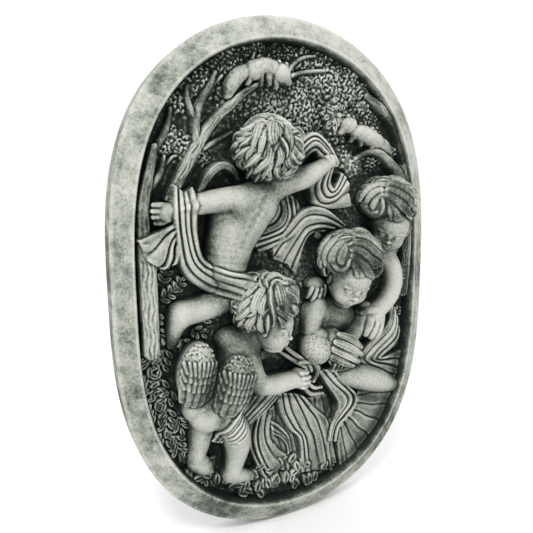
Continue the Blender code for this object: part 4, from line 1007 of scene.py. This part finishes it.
def falling_cloth(clay):
    """Folds over the lower middle and the lower right."""
    # Low cloth behind the falling folds
    cloth(clay, [
        [(-12, -52, 9), (-11, -62, 8.8), (-8, -72, 8.4), (-5, -79, 7.8)],
        [(-3, -50, 9), (-1, -61, 8.8), (1, -72, 8.4), (2, -83, 7.8)],
        [(7, -50, 9), (9, -60, 8.8), (11, -72, 8.4), (12, -85, 7.8)],
        [(17, -50, 9), (20, -60, 8.8), (21, -72, 8.4), (24, -84, 7.8)],
    ], 9, depth=0.9, edge=1.0, seed=13)
    # Left group of folds that fall from the winged putto's fist
    cloth(clay, [
        [(-15.6, -50.5, 11), (-18.4, -58, 10.5), (-18.4, -65, 10.5), (-15, -73.5, 10), (-11, -81.4, 9)],
        [(-12.5, -50.5, 11), (-14.6, -58.5, 11), (-14.6, -65, 11), (-11.6, -73, 10.5), (-7.6, -80, 9)],
        [(-8.6, -49.5, 11), (-10.8, -57.5, 11), (-10.2, -64, 11), (-6, -70, 10.5), (-1.8, -73.6, 9.5)],
    ], 4, depth=1.9, edge=1.1, seed=3)
    cloth(clay, [
        [(-10.6, -66, 9.8), (-9, -71, 9.6), (-5, -75.6, 9.2)],
        [(-8.4, -66, 10), (-6, -70.4, 9.8), (-1.6, -74.6, 9.2)],
    ], 2, depth=1, edge=0.9)
    # Folds below the fist
    cloth(clay, [
        [(-6.6, -43.5, 13), (-5, -52, 12), (-0.5, -60.5, 11.5), (4.4, -67, 11), (6.4, -83, 9)],
        [(-3.4, -44, 13), (-1, -52, 12), (4, -60.5, 11.5), (7.6, -68, 11), (9.6, -83.5, 8.8)],
        [(-0.4, -44.6, 13), (4.6, -53, 12), (10, -60.5, 11.5), (13.6, -67, 11), (17, -85, 8.6)],
        [(4.4, -47, 12), (10.6, -54.4, 11.5), (16.6, -61.6, 11.5), (18.4, -73.5, 10.5), (21.6, -87, 8.5)],
    ], 5, depth=1.9, edge=1.1, seed=4)
    cloth(clay, [
        [(-10, -55.5, 10), (-5, -59.6, 10), (-1, -65, 9.6), (0.4, -72, 9)],
        [(-8.4, -61.5, 9.4), (-4.5, -64, 9.4), (-1.6, -68, 9.2), (-0.6, -73, 9)],
    ], 3, depth=0.9, edge=0.8)
    # Cloth that opens out over the lower right, below the thigh
    cloth(clay, [
        [(22.5, -66, 11.4), (23.5, -72, 11), (25, -79, 10), (27, -87, 8.5)],
        [(24, -64.6, 11.4), (27, -70, 11), (30.5, -77, 10), (33, -84, 8.6)],
        [(25.5, -63, 11.4), (31, -67.6, 11), (36.5, -73, 10), (40, -79, 8.6)],
        [(27.5, -61, 11.4), (34.5, -64, 11.2), (41.5, -68.6, 10), (46.5, -73, 8.6)],
        [(30, -58.6, 11.4), (38, -60, 11.4), (46, -62.4, 10.2), (51.5, -65.5, 8.6)],
        [(32, -55.6, 11.2), (40, -55.4, 11.2), (48, -55.8, 10.4), (55, -57, 8.8)],
        [(33, -51, 11), (41, -50.6, 11), (49, -51, 10.4), (57, -51.6, 8.8)],
    ], 7, depth=1.2, edge=1.0, seed=5)
    # Ribbon that falls below the bird and turns back on itself
    cloth(clay, [
        [(13.1, -37.7, 12.5), (17.9, -45.3, 12.4), (22.1, -51.3, 12.2), (23.4, -55.3, 12.2),
         (21.4, -59.1, 12.2), (19, -64.4, 12), (18.4, -71, 11)],
        [(15.5, -37.4, 13), (21.4, -45.2, 12.9), (26.2, -51, 12.9), (27, -55.2, 12.9), (24, -59.4, 12.8),
         (20.6, -64.2, 12.4), (19.8, -71.4, 11.2)],
        [(18.2, -37, 13.4), (24.8, -45.2, 13.2), (30.1, -51, 13.2), (30.4, -55.4, 13.2), (26.8, -59.8, 13),
         (22.3, -64.2, 12.4), (21.4, -71.8, 11.2)],
    ], 3, depth=1.9, edge=1.0, seed=6)
    levels = np.zeros(MAP_SHAPE, np.float32)
    # Loops beside the fist
    for points in (
        [(3, -32.5, 12.2, 0.9), (8, -32.6, 12.8, 1.1), (10.8, -34.8, 12.8, 1.1), (11, -38, 12.4, 1.1),
         (9.4, -41.6, 11.8, 0.9)],
        [(5, -43.6, 12.2, 0.9), (8.4, -47, 11.8, 1), (14.4, -48, 11, 0.8)],
        [(6.4, -41, 12.2, 0.8), (9.6, -44.4, 11.8, 0.9), (14, -45.2, 11, 0.7)],
        [(-3.4, -24.6, 9.4, 0.8), (2, -29.6, 10.6, 1.1), (6.6, -33.4, 12, 1.1), (8.2, -36.6, 12.2, 0.9)],
        [(-4.6, -27.6, 9.4, 0.8), (0, -31, 10.6, 1), (4.4, -34, 12, 1), (6, -36, 12.2, 0.8)],
    ):
        stroke(levels, points)
    lay_map(clay, levels)


def cloth_in_front(clay):
    """Ribbon, bands and swirl that lie over the figures."""
    # Ribbon that turns back at the right edge
    cloth(clay, [
        [(50, -14, 12), (48.4, -23, 12.5), (38, -31.5, 12), (34.6, -37, 12), (44, -44, 11), (55.5, -49, 9.5)],
        [(52, -15, 11.5), (51, -25, 12), (40.6, -33, 12), (37.6, -37.6, 11.5), (47, -42.8, 10.5),
         (57, -46.8, 9)],
        [(54.6, -19, 11), (53.4, -28.5, 11), (43.4, -35.5, 11.5), (42.4, -39, 11), (50.5, -41, 10.5),
         (58.4, -42.6, 9)],
        [(56.6, -26, 10), (54.6, -32, 10), (46.6, -36.6, 10.5), (46.2, -38.4, 10.5), (52, -38.2, 10),
         (59, -38, 9)],
    ], 4, depth=1.9, edge=1.1, seed=7)
    # Band from the left wrist that sweeps round under the back
    cloth(clay, [
        [(-46, 38.8, 14.4), (-47, 33, 17.4), (-46.2, 22, 16), (-43.6, 9.6, 13.5), (-36, 2.2, 12.8),
         (-25.5, -1.4, 12)],
        [(-43.4, 36.4, 14.4), (-43.8, 32, 17.4), (-43.6, 22, 16), (-41, 11, 13.8), (-34, 4.6, 13),
         (-24.5, 1.4, 12)],
        [(-41, 38, 14.4), (-40.6, 33, 17), (-40.4, 22, 15.6), (-37.6, 12.6, 14.4), (-30, 8, 14),
         (-18.6, 5.4, 13)],
    ], 4, depth=1.7, edge=1.1, over=True, lift=2.6, seed=8)
    cloth(clay, [
        [(-46.5, 25.6, 15.6), (-52, 23, 14.8), (-59.4, 20, 13.6)],
        [(-46.4, 23.8, 15.6), (-51, 18.6, 15), (-57, 13.6, 13.8)],
        [(-46.2, 22, 15.4), (-48.8, 15.6, 14.6), (-51.6, 10, 13.4)],
        [(-45.4, 21, 15), (-45.4, 15.6, 14), (-46.4, 11.6, 12.6)],
    ], 4, depth=2.4, edge=0.9, seed=12)
    # Cloth gathered over the raised right hand, with its hanging swirl
    cloth(clay, [
        [(-2, 45, 13), (0, 51, 14), (8.6, 57.6, 14), (14.5, 53.4, 15.5), (18.6, 46.4, 16)],
        [(1, 46.4, 13), (3, 51, 14), (9, 55, 14), (13.2, 51.6, 15), (16.8, 46.6, 16)],
        [(4, 46.4, 12), (5.8, 49.4, 13), (9.8, 52, 13), (12.4, 50, 14), (15.4, 47, 15.4)],
    ], 4, depth=1.8, edge=1.1, seed=9)
    cloth(clay, [
        [(16.6, 46, 15.5), (15.6, 39.6, 14.5), (17.6, 36.4, 14.5), (19.6, 38.4, 14.5), (22, 43, 14.2)],
        [(15.6, 46, 15.5), (13, 38.6, 14.5), (16, 34.4, 14), (20.6, 36, 14), (24.2, 41.6, 13.8)],
        [(14.4, 46, 15.5), (11, 38.5, 13.5), (14, 32.5, 13), (20, 32.8, 13), (26.2, 38.4, 13)],
        [(13.2, 45.6, 15), (9.2, 38, 12), (11.6, 31, 12), (19.5, 29.8, 12), (28, 30.4, 12)],
    ], 4, depth=2.0, edge=1.0, seed=10)
    # Sash over the winged putto's thigh
    cloth(clay, [
        [(-21, -39.6, 13), (-26, -45.4, 14.4), (-31, -51.4, 14.4), (-35.4, -57.2, 13.2)],
        [(-15, -40.4, 13), (-21.4, -46.6, 14), (-28, -52, 14.4), (-34, -58, 13.2)],
        [(-8, -42, 13.2), (-15.6, -47.6, 13.6), (-23.4, -53.6, 14), (-31.6, -58.6, 13)],
        [(-6.6, -43.4, 13.2), (-12.6, -49.6, 12.6), (-18.4, -53, 13), (-24.6, -57, 12.4)],
    ], 7, depth=1.3, edge=0.9, over=True, lift=2.0, seed=11)


def rim_masks():
    """How far each column lies outside the inner edge of the rim, as a share of the oval."""
    gx, gz = map_lines((0, 0), MAP_SHAPE)
    gx, gz = gx[::2], gz[:, ::2]
    inner_x = HALF_WIDTH / SHARE - RIM_SIDE
    inner_z = 100 - RIM_END
    return (np.abs(gx) / inner_x) ** SIDE_POWER + (np.abs(gz) / inner_z) ** END_POWER


def surface_of(field, start):
    """Closed mesh of the zero surface of a block: corner points and four-sided faces."""
    padded = np.pad(field, 1, constant_values=FAR)
    inside = padded < 0
    count = np.zeros(tuple(n - 1 for n in padded.shape), np.uint8)
    corners = [(i, j, k) for i in (0, 1) for j in (0, 1) for k in (0, 1)]
    shape = count.shape
    for i, j, k in corners:
        count += inside[i:i + shape[0], j:j + shape[1], k:k + shape[2]]
    cells = np.argwhere((count > 0) & (count < 8))
    u, v, w = cells.T
    values = np.stack([padded[u + i, v + j, w + k] for i, j, k in corners], axis=1)
    total = np.zeros((len(cells), 3))
    hits = np.zeros(len(cells))
    for a, first in enumerate(corners):
        for b, second in enumerate(corners):
            if b <= a or sum(abs(p - q) for p, q in zip(first, second)) != 1:
                continue
            va, vb = values[:, a], values[:, b]
            crosses = (va < 0) != (vb < 0)
            t = np.where(crosses, va / np.where(crosses, va - vb, 1), 0)[:, None]
            spot = np.array(first) * (1 - t) + np.array(second) * t
            total += np.where(crosses[:, None], spot, 0)
            hits += crosses
    points = cells + total / hits[:, None] - 1 + start
    index = np.full(shape, -1, np.int32)
    index[cells[:, 0], cells[:, 1], cells[:, 2]] = np.arange(len(cells))
    quads = []
    for axis in range(3):
        u, v = (axis + 1) % 3, (axis + 2) % 3
        here = [slice(1, -1)] * 3
        here[axis] = slice(0, -1)
        ahead = list(here)
        ahead[axis] = slice(1, None)
        near, far = inside[tuple(here)], inside[tuple(ahead)]
        for flip, edges in ((False, near & ~far), (True, ~near & far)):
            spots = np.argwhere(edges)
            spots[:, u] += 1
            spots[:, v] += 1
            ring = []
            for du, dv in ((1, 1), (0, 1), (0, 0), (1, 0)):
                cell = spots.copy()
                cell[:, u] -= du
                cell[:, v] -= dv
                ring.append(index[cell[:, 0], cell[:, 1], cell[:, 2]])
            quads.append(np.stack(ring[::-1] if flip else ring, axis=1))
    return points, np.concatenate(quads)


def make_mesh(name, points, quads):
    mesh = bpy.data.meshes.new(name)
    mesh.vertices.add(len(points))
    mesh.vertices.foreach_set("co", points.astype(np.float32).ravel())
    mesh.loops.add(quads.size)
    mesh.loops.foreach_set("vertex_index", quads.astype(np.int32).ravel())
    mesh.polygons.add(len(quads))
    mesh.polygons.foreach_set("loop_start", np.arange(0, quads.size, 4, dtype=np.int32))
    mesh.update(calc_edges=True)
    mesh.validate()
    return mesh


def to_metres(points):
    """Block points, counted in grains, to metres in the plaque's frame."""
    shares = LOW + GRAIN * points
    return np.stack([shares[:, 0], -shares[:, 2], shares[:, 1]], axis=1) * SHARE


def sample(block, shares):
    """Values of a block at free places, blended between its points."""
    spot = (shares - LOW) / GRAIN
    low = np.clip(np.floor(spot).astype(int), 0, np.array(block.shape) - 2)
    t = np.clip(spot - low, 0, 1)
    value = 0.0
    for i in (0, 1):
        for j in (0, 1):
            for k in (0, 1):
                weight = (np.abs(1 - i - t[:, 0]) * np.abs(1 - j - t[:, 1]) * np.abs(1 - k - t[:, 2]))
                value = value + weight * block[low[:, 0] + i, low[:, 1] + j, low[:, 2] + k]
    return value


def model_relief():
    """The whole relief, from the field outwards."""
    clay = Clay(LOW, HIGH)
    lay_map(clay, ground_map(), soft=0)
    clay.merge(animals(), 0.1)
    for figure in (dancing_putto, leaning_putto, kneeling_putto, winged_putto):
        clay.merge(figure(), 0.3)
    flying_cloth(clay)
    falling_cloth(clay)
    cloth_in_front(clay)
    return clay


def wash_and_shade_blocks(clay):
    """How much stone is near each place at three reaches, which tells hollows from ridges,
    and how finely the surface about it is worked; from these the wash paints patina and shade into hollows."""
    solid = np.clip(0.5 - clay.field / GRAIN, 0, 1)
    # The rim counts as stone here, so the relief close under it gets painted shade.
    outside = rim_masks() > 1
    rim_count = int((RIM_LEVEL - LOW[2]) / GRAIN)
    solid[:, :, :rim_count] = np.maximum(solid[:, :, :rim_count], outside[:, :, None])
    near, reach, far = (max(round(share / GRAIN), 1) for share in WASH_AND_SHADE_REACHES)
    fine = blurred(solid, near)
    middle = blurred(solid, reach)
    wide = blurred(middle, far)
    skin = (np.abs(clay.field) < 1.5 * GRAIN).astype(np.float32)
    worked = blurred(skin * np.abs(fine - middle), reach) / np.maximum(blurred(skin, reach), 0.01)
    return {"fine": fine, "middle": middle, "wide": wide, "worked": worked}


def relief_pieces():
    """The relief in closed bands, one above the other, that run into each other."""
    clay = model_relief()
    low_down = (LOW[2] + GRAIN * np.arange(clay.field.shape[2]))[None, :] < RIM_LEVEL - BELOW_CREST
    outside = rim_masks() > UNDER_RIM
    clay.field[outside] = np.where(low_down, FAR, clay.field[outside])
    blocks = wash_and_shade_blocks(clay)
    pieces = []
    for name, low, high in BANDS:
        first = max(int((low - LOW[1]) / GRAIN) - 1, 0)
        last = min(int((high - LOW[1]) / GRAIN) + 2, clay.field.shape[1])
        points, quads = surface_of(clay.field[:, first:last], np.array([0, first, 0]))
        mesh = make_mesh(name, to_metres(points), quads)
        piece = bpy.data.objects.new(name, mesh)
        bpy.context.collection.objects.link(piece)
        thin_out(piece, min(1.0, KEPT_TRIANGLES / (2 * len(quads))))
        corner = np.empty(len(piece.data.vertices) * 3, np.float32)
        piece.data.vertices.foreach_get("co", corner)
        corner = corner.reshape(-1, 3) / SHARE
        shares = np.stack([corner[:, 0], corner[:, 2], -corner[:, 1]], axis=1)
        # Measures of the stone round each point, which drive the patina wash and the painted shade.
        for key, block in blocks.items():
            set_values(piece.data, key, sample(block, shares))
        piece.data.shade_smooth()
        pieces.append(piece)
    return pieces


def thin_out(piece, ratio):
    """Relax a piece's mesh once, then keep a share of its triangles."""
    relax = piece.modifiers.new("relax", "SMOOTH")
    relax.factor = 0.5
    relax.iterations = 1
    thin = piece.modifiers.new("thin", "DECIMATE")
    thin.ratio = ratio
    thinned = bpy.data.meshes.new_from_object(piece.evaluated_get(bpy.context.evaluated_depsgraph_get()))
    piece.modifiers.clear()
    piece.data = thinned
    thinned.validate()
    keep_largest_part(thinned)


def keep_largest_part(mesh):
    """Drop the small shells that are shut inside the stone or stand off it."""
    ends = np.empty(2 * len(mesh.edges), np.int32)
    mesh.edges.foreach_get("vertices", ends)
    first, second = ends.reshape(-1, 2).T
    label = np.arange(len(mesh.vertices))
    while np.any(label[first] != label[second]):
        lower = np.minimum(label[first], label[second])
        np.minimum.at(label, first, lower)
        np.minimum.at(label, second, lower)
        label = label[label]
    kept = np.argmax(np.bincount(label))
    shape = bmesh.new()
    shape.from_mesh(mesh)
    stray = [corner for corner in shape.verts if label[corner.index] != kept]
    bmesh.ops.delete(shape, geom=stray, context="VERTS")
    shape.to_mesh(mesh)
    shape.free()


def set_values(mesh, name, values):
    layer = mesh.attributes.new(name, "FLOAT", "POINT")
    layer.data.foreach_set("value", np.asarray(values, np.float32))


def signed_power(value, power):
    return np.sign(value) * np.abs(value) ** power


def rim_profile():
    """Rings from the back to the foot of the rim: inset at the sides, level, wash with painted shade that
    darkens down the inner wall to the field.
    """
    profile = [(0.0, 0.0, 0.52)]
    for level in (1.5, 3.5, 5.5, 7.2):
        profile.append((0.0, level, 0.5))
    edge_top = EDGE_LEVEL + 0.1
    rim_foot = RIM_LEVEL - INNER_ROUND
    for step in range(5):
        turn = math.pi / 2 * step / 4
        profile.append((OUTER_ROUND * (1 - math.cos(turn)),
                        EDGE_LEVEL - OUTER_ROUND + (OUTER_ROUND + 0.1) * math.sin(turn), 0.42))
    for step in range(1, 10):
        share = step / 10
        swell = 0.12 * math.sin(math.pi * share)
        profile.append((OUTER_ROUND + (RIM_SIDE - OUTER_ROUND - INNER_ROUND) * share,
                        edge_top + (RIM_LEVEL - edge_top) * share + swell, 0.46))
    for step in range(5):
        turn = math.pi / 2 * step / 4
        profile.append((RIM_SIDE - INNER_ROUND + INNER_ROUND * math.sin(turn),
                        rim_foot + INNER_ROUND * math.cos(turn), 0.38 + 0.03 * step))
    for step in range(1, 7):
        share = step / 6
        profile.append((RIM_SIDE + 0.7 * share, rim_foot + (FIELD_LEVEL - 1.6 - RIM_LEVEL) * share,
                        0.5 + 0.45 * share))
    return profile


def rim_piece():
    """The slab and its raised rim, as rings of one oval whose inset grows towards the ends."""
    count = RIM_POINTS
    profile = rim_profile()
    angle = 2 * math.pi * np.arange(count) / count
    unit_x = signed_power(np.cos(angle), 2 / SIDE_POWER)
    unit_z = signed_power(np.sin(angle), 2 / END_POWER)
    half_width = HALF_WIDTH / SHARE
    points, uneven = [], []
    for inset, level, wash_and_shade in profile:
        end_inset = inset * RIM_END / RIM_SIDE
        ring = [(half_width - inset) * unit_x, np.full(count, -level), (100 - end_inset) * unit_z]
        points.append(np.stack(ring, axis=1))
        # The rim's colour grows darker towards its bottom: painted shade, as from light falling from above.
        uneven.append(wash_and_shade - 0.055 + 0.07 * (1 - unit_z) / 2)
    rings = len(profile)
    points.append(np.array([[0.0, 0.0, 0.0], [0.0, -profile[-1][1], 0.0]]))
    uneven.append(np.array([0.45, 0.9]))
    points = np.concatenate(points) * SHARE
    mesh = bpy.data.meshes.new("plaque_rim")
    faces = []
    for ring in range(rings - 1):
        for index in range(count):
            after = (index + 1) % count
            near, far = ring * count, (ring + 1) * count
            faces.append((near + index, near + after, far + after, far + index))
    back, front = rings * count, rings * count + 1
    for index in range(count):
        after = (index + 1) % count
        faces.append((back, after, index))
        faces.append((front, (rings - 1) * count + index, (rings - 1) * count + after))
    mesh.from_pydata(points.tolist(), [], faces)
    mesh.validate()
    uneven = np.concatenate(uneven)
    for name, values in (("fine", 0.5), ("middle", 0.5), ("wide", uneven), ("worked", 0.09)):
        set_values(mesh, name, np.broadcast_to(values, len(uneven)))
    mesh.shade_smooth()
    piece = bpy.data.objects.new("plaque_rim", mesh)
    bpy.context.collection.objects.link(piece)
    mesh.set_sharp_from_angle(angle=math.radians(50))
    return piece


# Finish


def node(tree, kind, **values):
    made = tree.nodes.new(kind)
    for name, value in values.items():
        setattr(made, name, value)
    return made


def math_node(tree, operation, first, second):
    """A math node on two values, each a number or a socket."""
    made = node(tree, "ShaderNodeMath", operation=operation)
    for socket, value in zip(made.inputs, (first, second)):
        if isinstance(value, (int, float)):
            socket.default_value = value
        else:
            tree.links.new(value, socket)
    return made.outputs[0]


def srgb(red, green, blue):
    """A linear colour from screen values between 11 and 255."""
    return tuple(((c / 255 + 0.055) / 1.055) ** 2.4 for c in (red, green, blue)) + (1.0,)


def noise(tree, place, scale, detail, rough):
    made = node(tree, "ShaderNodeTexNoise")
    tree.links.new(place, made.inputs["Vector"])
    made.inputs["Scale"].default_value = scale
    made.inputs["Detail"].default_value = detail
    made.inputs["Roughness"].default_value = rough
    return made.outputs["Fac"]


def stone_material(name, smudges):
    """Pale cast concrete with a dark green-black wash left in the hollows, which also paints shade into hollows
    and crowded places.
    """
    material = bpy.data.materials.new(name)
    material.use_nodes = True
    tree = material.node_tree
    shader = tree.nodes["Principled BSDF"]
    place = node(tree, "ShaderNodeTexCoord").outputs["Object"]

    def more(value, part, weight):
        """A value with a weighted part added to it."""
        return math_node(tree, "ADD", math_node(tree, "MULTIPLY", part, weight), value)

    # The wash darkens hollows: patina, with painted shade in the same places.
    wash_and_shade = WASH_AND_SHADE_START
    for key, weight in WASH_AND_SHADE_WEIGHTS:
        wash_and_shade = more(wash_and_shade, node(tree, "ShaderNodeAttribute", attribute_name=key).outputs["Fac"], weight)
    patches = more(-0.5, noise(tree, place, *BROAD_PATCHES), 0.55)
    patches = more(patches, noise(tree, place, *SMALL_PATCHES), 0.45)
    wash_and_shade = more(wash_and_shade, patches, smudges)
    specks = math_node(tree, "SUBTRACT", noise(tree, place, *SPECKS), 0.5)
    wash_and_shade = more(wash_and_shade, specks, SPECK_WEIGHT)
    ramp = node(tree, "ShaderNodeValToRGB")
    tree.links.new(wash_and_shade, ramp.inputs["Fac"])
    while len(ramp.color_ramp.elements) < len(WASH_AND_SHADE_COLOURS):
        ramp.color_ramp.elements.new(0.5)
    for element, (position, colour) in zip(ramp.color_ramp.elements, WASH_AND_SHADE_COLOURS):
        element.position = position
        element.color = srgb(*colour)
    tree.links.new(ramp.outputs["Color"], shader.inputs["Base Color"])
    lumps = noise(tree, place, *LUMPS)
    height = more(lumps, noise(tree, place, *PORES), 0.35)
    bump = node(tree, "ShaderNodeBump")
    bump.inputs["Strength"].default_value = BUMP_STRENGTH
    bump.inputs["Distance"].default_value = BUMP_DISTANCE
    tree.links.new(height, bump.inputs["Height"])
    tree.links.new(bump.outputs["Normal"], shader.inputs["Normal"])
    tree.links.new(more(0.66, lumps, 0.25), shader.inputs["Roughness"])
    shader.inputs["Specular IOR Level"].default_value = 0.3
    return material


def plain_material(name, colour):
    material = bpy.data.materials.new(name)
    material.use_nodes = True
    shader = material.node_tree.nodes["Principled BSDF"]
    shader.inputs["Base Color"].default_value = colour
    shader.inputs["Roughness"].default_value = 0.9
    return material


def add_stage():
    bpy.ops.mesh.primitive_circle_add(vertices=96, radius=FLOOR_RADIUS, fill_type="NGON",
                                      location=(0, 0, BACK_LOW.z - FLOOR_GAP))
    floor = bpy.context.object
    floor.name = "floor"
    floor.data.materials.append(plain_material("pale_floor", (0.98, 0.98, 0.98, 1)))


def add_light(name, place, target, size, power):
    data = bpy.data.lights.new(name, "AREA")
    data.shape = "DISK"
    data.size = size
    data.energy = power
    light = bpy.data.objects.new(name, data)
    light.location = place
    light.rotation_euler = (Vector(target) - Vector(place)).to_track_quat("-Z", "Y").to_euler()
    bpy.context.collection.objects.link(light)


def add_lights():
    world = bpy.data.worlds.new("studio")
    world.use_nodes = True
    world.node_tree.nodes["Background"].inputs["Color"].default_value = (1.0, 1.0, 1.0, 1)
    world.node_tree.nodes["Background"].inputs["Strength"].default_value = WORLD_STRENGTH
    bpy.context.scene.world = world
    add_light("key", KEY_PLACE, (0, 0, 0), KEY_SIZE, KEY_POWER)


def add_camera():
    data = bpy.data.cameras.new("photo_view")
    data.sensor_width = 36.0
    data.lens = LENS
    data.clip_start = 0.01
    camera = bpy.data.objects.new("photo_view", data)
    right = Vector((0.8949, -0.4461, -0.0124))
    up = Vector((0.0800, 0.1330, 0.9879))
    away = Vector((-0.4391, -0.8850, 0.1547))
    place = Vector((EYE[0], -EYE[2], EYE[1])) * SHARE
    camera.matrix_world = Matrix.Translation(place) @ Matrix((right, up, away)).transposed().to_4x4()
    bpy.context.collection.objects.link(camera)
    bpy.context.scene.camera = camera


def main():
    bpy.context.scene.view_settings.view_transform = "Standard"
    rim = rim_piece()
    rim.data.materials.append(stone_material("rim_stone", RIM_SMUDGES))
    relief = relief_pieces()
    carved = stone_material("relief_stone", RELIEF_SMUDGES)
    for piece in relief:
        piece.data.materials.append(carved)
    for piece in (rim, *relief):
        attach(piece, "root")
        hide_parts("plaque")
    add_stage()
    add_lights()
    add_camera()


main()
